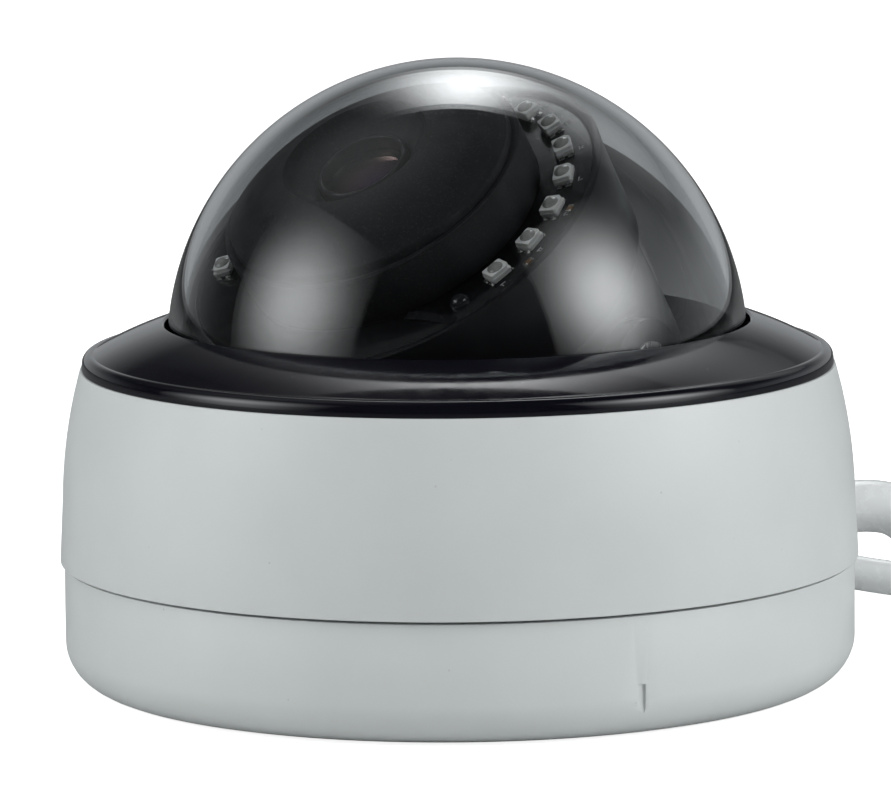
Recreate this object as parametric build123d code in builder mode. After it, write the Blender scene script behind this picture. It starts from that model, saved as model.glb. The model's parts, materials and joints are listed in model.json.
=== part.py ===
"""A fixed dome security camera, 120 mm across, built as the separate pieces it comes apart into.

Frame: millimetres, +Z up out of the mounting face, origin at the centre of the mounting face.
The front is -Y. The cables leave at the rear right, towards +X.
"""

import os

from build123d import *

# ---------------------------------------------------------------- driving dimensions

# outer body
cover_radius = 60.0           # the widest part of the camera
base_radius = 59.4
base_foot_radius = 54.9
base_bottom = 0.3             # the shell stands on a foam gasket of this thickness
base_edge_via = (58.0, 2.5)   # a point on the rounded lower edge
base_edge_top = 6.2
base_step_low = 13.5          # the wall steps in to the collar between these heights
base_step_high = 16.0
floor_thickness = 3.0
base_ledge_height = 18.15     # the cover's rim stops just above this ledge
cover_bottom = 18.6
cover_top = 47.4
cover_top_radius = 56.6
wall = 2.5

# twist-lock collar, which carries the weather seal
collar_radius = 56.9
collar_inner_radius = 53.8
collar_top = 30.0
seal_height = 26.7
seal_section_radius = 0.95
lug_reach = 1.0
lug_angle = 16.0              # each lug's width, in degrees round the collar
lug_count = 3
unlock_angle = 20.0           # the cover's lugs stand this far past the collar's lugs

# clear dome
dome_centre_height = 49.8
dome_radius = 43.5
dome_wall = 2.0
dome_flange_radius = 50.0
dome_flange_low = 42.4
dome_flange_thickness = 2.0

# black trim ring
trim_inner_radius = 43.9
trim_lip_height = 54.2

# three-axis camera mount
lens_azimuth = 41.2           # degrees from the front towards the left
lens_elevation = 54.5         # degrees above the mounting face
arm_inner = 33.6              # the arms stand this far out along the tilt axis
arm_thickness = 2.8
arm_width = 14.5
turntable_low = 15.3
turntable_thickness = 3.0
turntable_inner_radius = 34.0
turntable_radius = 45.0
rail_inner_radius = 39.0
rail_width = 2.0
clip_circle = 49.0

# camera ball, with t counted along the lens axis from the dome's centre
cup_radius = 31.3
cup_wall = 2.0
cup_back = -15.0
cup_front = 8.9
housing_radius = 32.7
housing_back = 9.0
housing_front = 24.6
spigot_gap = 0.08
led_board_radius = 31.4
led_board_top = 24.2
led_board_thickness = 1.6
led_circle = 27.4
led_count = 16
led_pitch = 15.0
led_first_angle = -17.5
shroud_radius = 23.2
shroud_cap_radius = 39.8
lens_barrel_radius = 7.0

# wall fixing
wall_screw_circle = 49.2
wall_screw_hole_radius = 2.25
wall_screw_boss_radius = 4.5
wall_screw_boss_height = 5.0
wall_screw_angle = 90.0       # the first hole, degrees from +X

# cables
cable_angle = 48.0            # where the cables leave the base, degrees from +X
cable_height = 10.5
network_cable_radius = 4.15
network_cable_shift = 5.0
power_cable_radius = 2.7
power_cable_shift = -6.0
cable_end_x = 90.0            # where each cable meets its socket

# power board
board_low = 6.0
board_thickness = 1.6
board_radius = 34.0
board_screw_circle = 30.0
board_screw_angle = 20.0

clearance = 0.1
from_bottom = (Align.CENTER, Align.CENTER, Align.MIN)
from_top = (Align.CENTER, Align.CENTER, Align.MAX)

# ---------------------------------------------------------------- frames

dome_centre = Vector(0, 0, dome_centre_height)
lens_axis = Vector(0, -1, 0).rotate(Axis.Z, -lens_azimuth)
lens_axis = lens_axis.rotate(Axis((0, 0, 0), lens_axis.cross(Vector(0, 0, 1))), lens_elevation)
tilt_axis = Vector(0, 0, 1).cross(lens_axis).normalized()

# head: x runs along the tilt axis, z along the lens axis. head_section is a half section of it.
head = Plane(origin=dome_centre, x_dir=tilt_axis, z_dir=lens_axis)
head_section = Plane(origin=dome_centre, x_dir=tilt_axis, z_dir=tilt_axis.cross(lens_axis))
head_axis = Axis(dome_centre, lens_axis)
turntable_frame = Plane(origin=(0, 0, 0), x_dir=tilt_axis, z_dir=(0, 0, 1))

# cable_port: x runs out of the base through the cable opening, y along the wall.
# port_section faces out of the opening: x runs along the wall, y up.
cable_port = Plane(Location((0, 0, 0), (0, 0, cable_angle)))
port_out = cable_port.x_dir
along_wall = cable_port.y_dir
port_section = Plane(origin=(0, 0, 0), x_dir=along_wall, z_dir=port_out)

os.makedirs("parts", exist_ok=True)


def save(piece, name):
    """Label a finished piece and write it as its own STEP file."""
    piece.part.label = name
    export_step(piece.part, f"parts/{name}.step")


def band(inner, outer, low, high, mode=Mode.ADD):
    """Draw a ring's half section in the open sketch: radius across, height up."""
    with Locations(((inner + outer) / 2, (low + high) / 2)):
        Rectangle(outer - inner, high - low, mode=mode)


def sector(inner, outer, middle_angle, width_angle):
    """Draw a ring sector in the open sketch, centred on an angle."""
    half = width_angle / 2
    with BuildLine(mode=Mode.PRIVATE) as edge:
        near = CenterArc((0, 0), inner, middle_angle - half, width_angle)
        far = CenterArc((0, 0), outer, middle_angle - half, width_angle)
        Line(near @ 0, far @ 0)
        Line(near @ 1, far @ 1)
    make_face(edge.edges())


def pan_head_screw(head_radius, head_height, shank_radius, shank_length):
    """Add a screw to the open part: the head's underside at the current place, the shank below."""
    Cylinder(head_radius, head_height, align=from_bottom)
    Cylinder(shank_radius, shank_length, align=from_top)


# ---------------------------------------------------------------- base: fixed to the wall

floor_top = base_bottom + floor_thickness
lug_low = 20.6
lug_height = 1.8
seal_groove_low = 25.4
seal_groove_high = 28.0
seal_groove_radius = 55.2
rail_top = turntable_low - clearance
clip_low = turntable_low + turntable_thickness + clearance
clip_angle = 30.0
stop_circle = 36.5
stop_radius = 0.9
stop_top = 14.2
post_radius = 3.0
pilot_radius = 1.05
clip_pilot_depth = 9.0
board_pilot_depth = 4.2
clamp_circle = 50.0           # the cable clamp's screw, out through the port and along the wall
clamp_screw_shift = -1.2
notch_width = 12.0            # lets the board's leads through the rail
notch_height = 6.0
port_width = 22.0
port_height = 11.0
port_centre = -0.5
mark_angle = -63.5            # degrees from +X
mark_low = 2.9
mark_height = 5.3
mark_width = 1.5
mark_depth = 0.6

with BuildPart() as base_shell:
    with BuildSketch(Plane.XZ):
        with BuildLine():
            Line((0, base_bottom), (base_foot_radius, base_bottom))
            ThreePointArc((base_foot_radius, base_bottom), base_edge_via, (base_radius, base_edge_top))
            Line((base_radius, base_edge_top), (base_radius, base_ledge_height))
            Line((base_radius, base_ledge_height), (collar_radius, base_ledge_height))
            Line((collar_radius, base_ledge_height), (collar_radius, seal_groove_low))
            Line((collar_radius, seal_groove_low), (seal_groove_radius, seal_groove_low))
            Line((seal_groove_radius, seal_groove_low), (seal_groove_radius, seal_groove_high))
            Line((seal_groove_radius, seal_groove_high), (collar_radius, seal_groove_high))
            Line((collar_radius, seal_groove_high), (collar_radius, collar_top))
            Line((collar_radius, collar_top), (collar_inner_radius, collar_top))
            Line((collar_inner_radius, collar_top), (collar_inner_radius, base_step_high))
            Line((collar_inner_radius, base_step_high), (base_radius - wall, base_step_low))
            Line((base_radius - wall, base_step_low), (base_radius - wall, floor_top))
            Line((base_radius - wall, floor_top), (0, floor_top))
            Line((0, floor_top), (0, base_bottom))
        make_face()
        band(rail_inner_radius, rail_inner_radius + rail_width, floor_top - 0.1, rail_top)
    revolve(axis=Axis.Z)
    # twist-lock lugs, standing out of the collar
    with BuildSketch(Plane.XY.offset(lug_low)):
        for lug in range(lug_count):
            sector(collar_radius - 0.2, collar_radius + lug_reach, lug * 120.0, lug_angle)
    extrude(amount=lug_height)
    # posts: wall screws, clips, board standoffs and the pan stop
    with PolarLocations(wall_screw_circle, 3, start_angle=wall_screw_angle):
        Cylinder(wall_screw_boss_radius, wall_screw_boss_height, align=from_bottom)
        Cylinder(wall_screw_hole_radius, wall_screw_boss_height, align=from_bottom, mode=Mode.SUBTRACT)
    with Locations(Plane.XY.offset(floor_top - 0.1)):
        with PolarLocations(clip_circle, 3, start_angle=clip_angle):
            Cylinder(post_radius, clip_low - floor_top + 0.1, align=from_bottom)
        with PolarLocations(board_screw_circle, 4, start_angle=board_screw_angle):
            Cylinder(post_radius, board_low - floor_top + 0.1, align=from_bottom)
        with PolarLocations(stop_circle, 1, start_angle=180 - lens_azimuth):
            Cylinder(stop_radius, stop_top - floor_top + 0.1, align=from_bottom)
    with Locations(Plane.XY.offset(clip_low)):
        with PolarLocations(clip_circle, 3, start_angle=clip_angle):
            Cylinder(pilot_radius, clip_pilot_depth, align=from_top, mode=Mode.SUBTRACT)
    with Locations(Plane.XY.offset(board_low)):
        with PolarLocations(board_screw_circle, 4, start_angle=board_screw_angle):
            Cylinder(pilot_radius, board_pilot_depth, align=from_top, mode=Mode.SUBTRACT)
    # cable opening through the wall, and the notch in the rail for the board's leads
    with BuildSketch(port_section.offset(50)):
        with Locations((port_centre, cable_height)):
            SlotOverall(port_width, port_height)
    extrude(amount=15, mode=Mode.SUBTRACT)
    with BuildSketch(port_section.offset(rail_inner_radius - 1)):
        with Locations((port_centre, cable_height)):
            Rectangle(notch_width, notch_height)
    extrude(amount=2 * rail_width, mode=Mode.SUBTRACT)
    # clamp screw pilot in the floor
    with Locations(cable_port):
        with Locations((clamp_circle, clamp_screw_shift, floor_top)):
            Cylinder(pilot_radius, 2.0, align=from_top, mode=Mode.SUBTRACT)
    # locking mark on the front right of the wall: a sharp edge that ramps out to the left
    with BuildSketch(Plane(Location((0, 0, mark_low), (0, 0, mark_angle)))):
        with BuildLine():
            Polyline(
                (base_radius - mark_depth, 0),
                (base_radius + 0.5, 0),
                (base_radius + 0.5, -mark_width),
                (base_radius - 0.02, -mark_width),
                close=True,
            )
        make_face()
    extrude(amount=mark_height, mode=Mode.SUBTRACT)
save(base_shell, "base_shell")

gasket_radius = 53.7
gasket_inner_radius = 44.2

with BuildPart() as foot_gasket:
    with BuildSketch(Plane.XY):
        Circle(gasket_radius)
        Circle(gasket_inner_radius, mode=Mode.SUBTRACT)
        with PolarLocations(wall_screw_circle, 3, start_angle=wall_screw_angle):
            Circle(wall_screw_boss_radius + clearance, mode=Mode.SUBTRACT)
    extrude(amount=base_bottom)
save(foot_gasket, "foot_gasket")

board_top = board_low + board_thickness
switch_centre = (0, 25)
header_depth = 5.0
header_height = 5.0
capacitor_radius = 3.15
capacitor_height = 6.0
header_reach = 24.0          # the cable header's middle, out from the centre

with BuildPart() as power_board:
    with BuildSketch(Plane.XY.offset(board_low)):
        Circle(board_radius)
        with PolarLocations(board_screw_circle, 4, start_angle=board_screw_angle):
            Circle(1.3, mode=Mode.SUBTRACT)
    extrude(amount=board_thickness)
save(power_board, "power_board")

with BuildPart() as board_screws:
    with Locations(Plane.XY.offset(board_top)):
        with PolarLocations(board_screw_circle, 4, start_angle=board_screw_angle):
            pan_head_screw(head_radius=2.4, head_height=1.5, shank_radius=1.0, shank_length=5.0)
save(board_screws, "power_board_screws")

with BuildPart() as network_transformer:
    with BuildSketch(Plane.XY.offset(board_top)):
        with Locations((10, 0)):
            RectangleRounded(13, 10, 0.6)
    extrude(amount=5.5)
save(network_transformer, "network_transformer")

with BuildPart() as power_inductor:
    with BuildSketch(Plane.XY.offset(board_top)):
        with Locations((-15, -8)):
            RectangleRounded(10, 10, 1.5)
    extrude(amount=5.0)
save(power_inductor, "power_inductor")

with BuildPart() as filter_capacitors:
    with Locations((-3, -14, board_top), (5, -14, board_top), (-12, 8, board_top)):
        Cylinder(capacitor_radius, capacitor_height, align=from_bottom)
    chamfer(filter_capacitors.edges().group_by(Axis.Z)[-1], 0.4)
save(filter_capacitors, "filter_capacitors")

with BuildPart() as board_headers:
    with Locations((24, -8, board_top)):
        Box(header_depth, 9.0, header_height, align=from_bottom)
    with Locations(cable_port):
        with Locations((header_reach, -2.0, board_top)):
            Box(header_depth, 11.0, header_height, align=from_bottom)
save(board_headers, "board_headers")

# reset switch: a fixed case and a plunger that travels in it
switch_size = 6.0
switch_height = 3.5
plunger_radius = 1.2
plunger_low = 1.4
plunger_height = 3.4

with BuildPart() as reset_switch:
    with BuildSketch(Plane.XY.offset(board_top)):
        with Locations(switch_centre):
            RectangleRounded(switch_size, switch_size, 0.5)
    extrude(amount=switch_height)
    with Locations((*switch_centre, board_top + switch_height)):
        Cylinder(plunger_radius + 0.05, switch_height - 0.8, align=from_top, mode=Mode.SUBTRACT)
save(reset_switch, "reset_switch")

with BuildPart() as reset_button:
    with Locations((*switch_centre, board_top + plunger_low)):
        Cylinder(plunger_radius, plunger_height, align=from_bottom)
    chamfer(reset_button.edges().group_by(Axis.Z)[-1], 0.2)
save(reset_button, "reset_button")

clip_length = 8.6
clip_width = 7.0
clip_thickness = 2.0

with BuildPart() as turntable_clips:
    with BuildSketch(Plane.XY.offset(clip_low)):
        with PolarLocations(clip_circle - 1.6, 3, start_angle=clip_angle):
            RectangleRounded(clip_length, clip_width, 1.5)
        with PolarLocations(clip_circle, 3, start_angle=clip_angle):
            Circle(1.35, mode=Mode.SUBTRACT)
    extrude(amount=clip_thickness)
save(turntable_clips, "turntable_clips")

with BuildPart() as clip_screws:
    with Locations(Plane.XY.offset(clip_low + clip_thickness)):
        with PolarLocations(clip_circle, 3, start_angle=clip_angle):
            pan_head_screw(head_radius=2.4, head_height=1.6, shank_radius=1.0, shank_length=9.0)
save(clip_screws, "clip_screws")

# ---------------------------------------------------------------- base: cables

clamp_top = 16.2
clamp_width = 21.6
clamp_thickness = 4.0
grommet_start = 56.2
grommet_lip_start = 59.5
grommet_end = 60.8
grommet_lip = 1.2

with BuildPart() as cable_grommet:
    with BuildSketch(port_section.offset(grommet_start)):
        with Locations((port_centre, cable_height)):
            SlotOverall(port_width - 2 * clearance, port_height - 2 * clearance)
    extrude(amount=grommet_end - grommet_start)
    # a lip outside the wall
    with BuildSketch(port_section.offset(grommet_lip_start)):
        with Locations((port_centre, cable_height)):
            SlotOverall(port_width + 2 * grommet_lip, port_height + 2 * grommet_lip)
    extrude(amount=grommet_end - grommet_lip_start)
    with BuildSketch(port_section.offset(50)):
        with Locations((network_cable_shift, cable_height)):
            Circle(network_cable_radius + 0.05)
        with Locations((power_cable_shift, cable_height)):
            Circle(power_cable_radius + 0.05)
    extrude(amount=15, mode=Mode.SUBTRACT)
save(cable_grommet, "cable_grommet")


def cable_start(shift, reach):
    """A point on a cable's line through the opening, at a distance out from the centre."""
    return port_out * reach + along_wall * shift + Vector(0, 0, cable_height)


inner_reach = 45.0            # where each cable ends inside, and where it starts to bend outside
outer_reach = 62.0
straight_end = 7.0
network_socket_centre = Vector(cable_end_x, 60.0, 8.4)
power_socket_centre = Vector(cable_end_x, 38.5, 6.6)

with BuildPart() as network_cable:
    with BuildLine() as network_path:
        network_inner = Line(
            cable_start(network_cable_shift, inner_reach), cable_start(network_cable_shift, outer_reach)
        )
        network_bend = Spline(
            network_inner @ 1,
            (60.0, 59.5, 15.2),
            (69.0, 60.2, 14.8),
            network_socket_centre - Vector(straight_end, 0, 0),
            tangents=[port_out, (1, 0, 0)],
        )
        Line(network_bend @ 1, network_socket_centre)
    with BuildSketch(Plane(origin=network_inner @ 0, z_dir=port_out)):
        Circle(network_cable_radius)
    sweep()
save(network_cable, "network_cable")

with BuildPart() as power_cable:
    with BuildLine() as power_path:
        power_inner = Line(
            cable_start(power_cable_shift, inner_reach), cable_start(power_cable_shift, outer_reach)
        )
        power_bend = Spline(
            power_inner @ 1,
            (60.0, 42.6, 8.2),
            (70.0, 40.2, 6.9),
            power_socket_centre - Vector(straight_end, 0, 0),
            tangents=[port_out, (1, 0, 0)],
        )
        Line(power_bend @ 1, power_socket_centre)
    with BuildSketch(Plane(origin=power_inner @ 0, z_dir=port_out)):
        Circle(power_cable_radius)
    sweep()
save(power_cable, "power_cable")

# network socket: a moulded body with an eight-way jack cavity and its contact comb
socket_length = 34.0
socket_width = 16.6
socket_height = 16.0
jack_width = 11.9
jack_height = 8.4
jack_depth = 17.0
latch_width = 6.4
latch_height = 3.0
contact_pitch = 1.02
contact_size = 0.4
contact_length = 12.0
socket_plane = Plane(origin=network_socket_centre, x_dir=(0, 1, 0), z_dir=(1, 0, 0))

with BuildPart() as network_socket:
    with BuildSketch(socket_plane):
        RectangleRounded(socket_width, socket_height, 2.5)
    extrude(amount=socket_length)
    with BuildSketch(socket_plane.offset(socket_length)):
        Rectangle(jack_width, jack_height)
        with Locations((0, -jack_height / 2)):
            Rectangle(latch_width, latch_height)
    extrude(amount=-jack_depth, mode=Mode.SUBTRACT)
    fillet(network_socket.edges().group_by(Axis.X)[0], 1.2)
save(network_socket, "network_socket")

with BuildPart() as network_contacts:
    with Locations(socket_plane.offset(socket_length - jack_depth)):
        with GridLocations(contact_pitch, 1, 8, 1):
            with Locations((0, jack_height / 2 - 1.3, 0)):
                Box(contact_size, contact_size, contact_length, align=from_bottom)
save(network_contacts, "network_contacts")

sleeve_radius = 6.2
sleeve_length = 6.0

with BuildPart() as network_sleeve:
    with BuildSketch(socket_plane):
        Circle(sleeve_radius)
        Circle(network_cable_radius + 0.4, mode=Mode.SUBTRACT)
    extrude(amount=-sleeve_length)
save(network_sleeve, "network_strain_relief")

jack_plane = Plane(origin=power_socket_centre, x_dir=(0, 1, 0), z_dir=(1, 0, 0))
power_socket_radius = 6.2
power_socket_length = 22.0
power_bore_radius = 2.85
power_bore_depth = 10.0
power_pin_radius = 1.0

with BuildPart() as power_socket:
    with BuildSketch(jack_plane):
        Circle(power_socket_radius)
    extrude(amount=power_socket_length)
    with BuildSketch(jack_plane.offset(power_socket_length)):
        Circle(power_bore_radius)
    extrude(amount=-power_bore_depth, mode=Mode.SUBTRACT)
    chamfer(power_socket.edges().filter_by(GeomType.CIRCLE).group_by(Axis.X)[0], 1.6)
save(power_socket, "power_socket")

with BuildPart() as power_pin:
    with BuildSketch(jack_plane.offset(power_socket_length - 1.0)):
        Circle(power_pin_radius)
    extrude(amount=1.0 - power_bore_depth)
save(power_pin, "power_pin")

with BuildPart() as cable_clamp:
    with BuildSketch(port_section.offset(clamp_circle - clamp_thickness / 2)):
        with Locations((0.3, (floor_top + clamp_top) / 2)):
            Rectangle(clamp_width, clamp_top - floor_top)
        with Locations((network_cable_shift, cable_height)):
            Circle(network_cable_radius + 0.05, mode=Mode.SUBTRACT)
        with Locations((network_cable_shift, (cable_height + floor_top) / 2)):
            Rectangle(2 * network_cable_radius + 0.1, cable_height - floor_top, mode=Mode.SUBTRACT)
        with Locations((power_cable_shift, cable_height)):
            Circle(power_cable_radius + 0.05, mode=Mode.SUBTRACT)
        with Locations((power_cable_shift, (cable_height + floor_top) / 2)):
            Rectangle(2 * power_cable_radius + 0.1, cable_height - floor_top, mode=Mode.SUBTRACT)
    extrude(amount=clamp_thickness)
    with Locations(cable_port):
        with Locations((clamp_circle, clamp_screw_shift, 0)):
            Cylinder(1.1, 40, mode=Mode.SUBTRACT)
save(cable_clamp, "cable_clamp")

with BuildPart() as clamp_screw:
    with Locations(cable_port):
        with Locations((clamp_circle, clamp_screw_shift, clamp_top)):
            shank_length = clamp_top - floor_top + 1.6
            pan_head_screw(head_radius=2.0, head_height=1.4, shank_radius=1.0, shank_length=shank_length)
save(clamp_screw, "cable_clamp_screw")

# ---------------------------------------------------------------- seal, between base and cover

with BuildPart() as cover_seal:
    with BuildSketch(Plane.XZ):
        with Locations((seal_groove_radius + 0.2 + seal_section_radius, seal_height)):
            Circle(seal_section_radius)
    revolve(axis=Axis.Z)
save(cover_seal, "cover_seal")

# ---------------------------------------------------------------- cover: twists, then lifts off

dome_flange_top = dome_flange_low + dome_flange_thickness
ledge_low = dome_flange_top + 1.0
ledge_inner_radius = 44.3
retainer_thickness = 2.2
retainer_low = dome_flange_low - retainer_thickness
retainer_radius = 53.0
retainer_skirt_thickness = 1.2
retainer_skirt_low = 30.0
retainer_screw_circle = 51.6
retainer_screw_count = 6
trim_peg_circle = 52.4
trim_peg_radius = 1.2
cover_shoulder = (59.5, 28.0)       # where the cover's straight wall meets its curved shoulder
cover_shoulder_via = (58.4, 39.5)
cover_bore_radius = 58.2            # slips over the base's collar and its lugs
cover_neck_radius = 57.6            # closes on the weather seal

with BuildPart() as upper_cover:
    with BuildSketch(Plane.XZ):
        with BuildLine():
            Line((cover_radius, cover_bottom), cover_shoulder)
            ThreePointArc(cover_shoulder, cover_shoulder_via, (cover_top_radius, cover_top))
            Line((cover_top_radius, cover_top), (ledge_inner_radius, cover_top))
            Line((ledge_inner_radius, cover_top), (ledge_inner_radius, ledge_low))
            Line((ledge_inner_radius, ledge_low), (54.5, ledge_low))
            Line((54.5, ledge_low), (57.3, 30.5))
            Line((57.3, 30.5), (cover_neck_radius, 24.6))
            Line((cover_neck_radius, 24.6), (cover_bore_radius, 24.0))
            Line((cover_bore_radius, 24.0), (cover_bore_radius, cover_bottom))
            Line((cover_bore_radius, cover_bottom), (cover_radius, cover_bottom))
        make_face()
    revolve(axis=Axis.Z)
    # inward lugs, which pass between the collar's lugs and turn beneath them
    with BuildSketch(Plane.XY.offset(cover_bottom + 0.2)):
        for lug in range(lug_count):
            sector(collar_radius + 0.15, 58.4, lug * 120.0 + unlock_angle, lug_angle)
    extrude(amount=1.6)
    # screw bosses for the dome retainer, with pilot holes
    with Locations(Plane.XY.offset(dome_flange_low)):
        with PolarLocations(retainer_screw_circle, retainer_screw_count):
            Cylinder(1.5, ledge_low - dome_flange_low + 0.1, align=from_bottom)
            Cylinder(0.85, 4.0, align=from_bottom, mode=Mode.SUBTRACT)
    # holes for the trim ring's pegs
    with Locations(Plane.XY.offset(cover_top)):
        with PolarLocations(trim_peg_circle, 4, start_angle=45):
            Cylinder(trim_peg_radius + clearance, 6.0, mode=Mode.SUBTRACT)
save(upper_cover, "upper_cover")

trim_radius = 56.4
trim_rim_top = (56.3, 48.5)         # the rim's small upright face ends here
trim_slope_foot = (54.6, 49.8)      # and the slope up to the dome starts here

with BuildPart() as trim_ring:
    with BuildSketch(Plane.XZ):
        with BuildLine():
            Line((trim_inner_radius, cover_top), (trim_radius, cover_top))
            Line((trim_radius, cover_top), trim_rim_top)
            ThreePointArc(trim_rim_top, (55.85, 49.45), trim_slope_foot)
            ThreePointArc(trim_slope_foot, (49.3, 52.35), (trim_inner_radius + 0.3, trim_lip_height))
            Line((trim_inner_radius + 0.3, trim_lip_height), (trim_inner_radius, trim_lip_height - 0.2))
            Line((trim_inner_radius, trim_lip_height - 0.2), (trim_inner_radius, cover_top))
        make_face()
        with BuildLine():
            Polyline((45.9, cover_top), (45.9, 51.4), (50.0, 50.2), (54.2, 48.2), (54.2, cover_top), close=True)
        make_face(mode=Mode.SUBTRACT)
    revolve(axis=Axis.Z)
    with Locations(Plane.XY.offset(cover_top)):
        with PolarLocations(trim_peg_circle, 4, start_angle=45):
            Cylinder(trim_peg_radius, 1.2, align=from_bottom)
            Cylinder(trim_peg_radius, 2.4, align=from_top)
save(trim_ring, "trim_ring")

dome_inner_radius = dome_radius - dome_wall

with BuildPart() as dome:
    with BuildSketch(Plane.XZ):
        with BuildLine():
            Line((dome_inner_radius, dome_flange_low), (dome_flange_radius, dome_flange_low))
            Line((dome_flange_radius, dome_flange_low), (dome_flange_radius, dome_flange_top))
            Line((dome_flange_radius, dome_flange_top), (dome_radius, dome_flange_top))
            Line((dome_radius, dome_flange_top), (dome_radius, dome_centre_height))
            CenterArc((0, dome_centre_height), dome_radius, 0, 90)
            Line((0, dome_centre_height + dome_radius), (0, dome_centre_height + dome_inner_radius))
            CenterArc((0, dome_centre_height), dome_inner_radius, 0, 90)
            Line((dome_inner_radius, dome_centre_height), (dome_inner_radius, dome_flange_low))
        make_face()
    revolve(axis=Axis.Z)
save(dome, "dome")

with BuildPart() as dome_gasket:
    with BuildSketch(Plane.XZ):
        band(44.6, 49.6, dome_flange_top + 0.02, ledge_low - 0.02)
    revolve(axis=Axis.Z)
save(dome_gasket, "dome_gasket")

with BuildPart() as dome_retainer:
    with BuildSketch(Plane.XZ):
        band(dome_inner_radius, retainer_radius, retainer_low, dome_flange_low)
        skirt_radius = dome_inner_radius + retainer_skirt_thickness
        band(dome_inner_radius, skirt_radius, retainer_skirt_low, dome_flange_low)
    revolve(axis=Axis.Z)
    with Locations(Plane.XY.offset(retainer_low)):
        with PolarLocations(retainer_screw_circle, retainer_screw_count):
            Cylinder(1.0, 10.0, mode=Mode.SUBTRACT)
save(dome_retainer, "dome_retainer")

with BuildPart() as retainer_screws:
    with PolarLocations(retainer_screw_circle, retainer_screw_count):
        with Locations((0, 0, retainer_low)):
            Cylinder(1.7, 1.3, align=from_top)
            Cylinder(0.8, 5.4, align=from_bottom)
save(retainer_screws, "retainer_screws")

# ---------------------------------------------------------------- turntable: pans

turntable_top = turntable_low + turntable_thickness
arm_top_radius = arm_width / 2
pivot_bore_radius = 2.6
floor_disc_radius = 8.0
floor_disc_thickness = 0.9
bearing_inner_radius = 37.9         # the ring that turns inside the base's rail
bearing_low = 13.2
tab_low = 12.6
tab_size = 2.0

with BuildPart() as turntable:
    with BuildSketch(Plane.XZ):
        band(turntable_inner_radius, turntable_radius, turntable_low, turntable_top)
        band(floor_disc_radius, turntable_inner_radius, turntable_low, turntable_low + floor_disc_thickness)
        band(bearing_inner_radius, rail_inner_radius - 0.05, bearing_low, turntable_low)
    revolve(axis=Axis.Z)
    # two arms, which carry the camera ball on the tilt axis
    for side in (-1, 1):
        arm_start = arm_inner if side > 0 else -arm_inner - arm_thickness
        arm_plane = Plane(origin=tilt_axis * arm_start, x_dir=Vector(0, 0, 1).cross(tilt_axis), z_dir=tilt_axis)
        with BuildSketch(arm_plane):
            with Locations((0, (turntable_low + dome_centre_height) / 2)):
                Rectangle(arm_width, dome_centre_height - turntable_low)
            with Locations((0, dome_centre_height)):
                Circle(arm_top_radius)
                Circle(pivot_bore_radius, mode=Mode.SUBTRACT)
        extrude(amount=arm_thickness)
    # the tab that meets the base's pan stop, opposite it at rest
    with Locations(turntable_frame):
        with Locations((stop_circle, 0, tab_low)):
            Box(tab_size, tab_size, turntable_low - tab_low + 0.2, align=from_bottom)
save(turntable, "turntable")

# ---------------------------------------------------------------- camera ball, rear half: tilts

cup_inner_radius = cup_radius - cup_wall
boss_root = 29.5              # inside the cup's wall
boss_reach = 32.9
boss_radius = 5.0
pivot_shank_radius = 1.45
pivot_flange_radius = 4.0
pivot_head_radius = 2.9
pivot_head_height = 1.6
recess_length = 3.6
recess_width = 0.7
recess_depth = 0.9
washer_radius = 5.2
washer_thickness = 0.6

with BuildPart() as rear_cup:
    with BuildSketch(head_section):
        with BuildLine():
            Line((0, cup_back), (28.5, cup_back))
            ThreePointArc((28.5, cup_back), (30.4, cup_back + 0.9), (cup_radius, cup_back + 3.0))
            Line((cup_radius, cup_back + 3.0), (cup_radius, cup_front))
            Line((cup_radius, cup_front), (cup_inner_radius, cup_front))
            Line((cup_inner_radius, cup_front), (cup_inner_radius, cup_back + cup_wall))
            Line((cup_inner_radius, cup_back + cup_wall), (0, cup_back + cup_wall))
            Line((0, cup_back + cup_wall), (0, cup_back))
        make_face()
    revolve(axis=head_axis)
    # pivot bosses on the tilt axis
    for side in (-1, 1):
        boss_start = boss_root if side > 0 else -boss_reach
        boss_plane = Plane(origin=dome_centre + tilt_axis * boss_start, x_dir=lens_axis, z_dir=tilt_axis)
        with BuildSketch(boss_plane):
            Circle(boss_radius)
        extrude(amount=boss_reach - boss_root)
        with BuildSketch(boss_plane.offset(-1.0)):
            Circle(pivot_shank_radius + 0.05)
        extrude(amount=boss_reach - boss_root + 2.0, mode=Mode.SUBTRACT)
    # the groove for the front half's snap bead, and the hole for the cables
    with BuildSketch(head_section):
        band(cup_inner_radius - 0.1, cup_inner_radius + 0.8, 5.5, 7.1)
    revolve(axis=head_axis, mode=Mode.SUBTRACT)
    with BuildSketch(head.offset(cup_back)):
        with Locations((0, -14)):
            SlotOverall(16, 8)
    extrude(amount=cup_wall, mode=Mode.SUBTRACT)
    # roll stop, standing on the cup's inner wall
    with BuildSketch(head.offset(cup_back + cup_wall)):
        with Locations((0, 28.4)):
            Rectangle(1.8, 2.0)
    extrude(amount=11.6)
save(rear_cup, "rear_cup")

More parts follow.
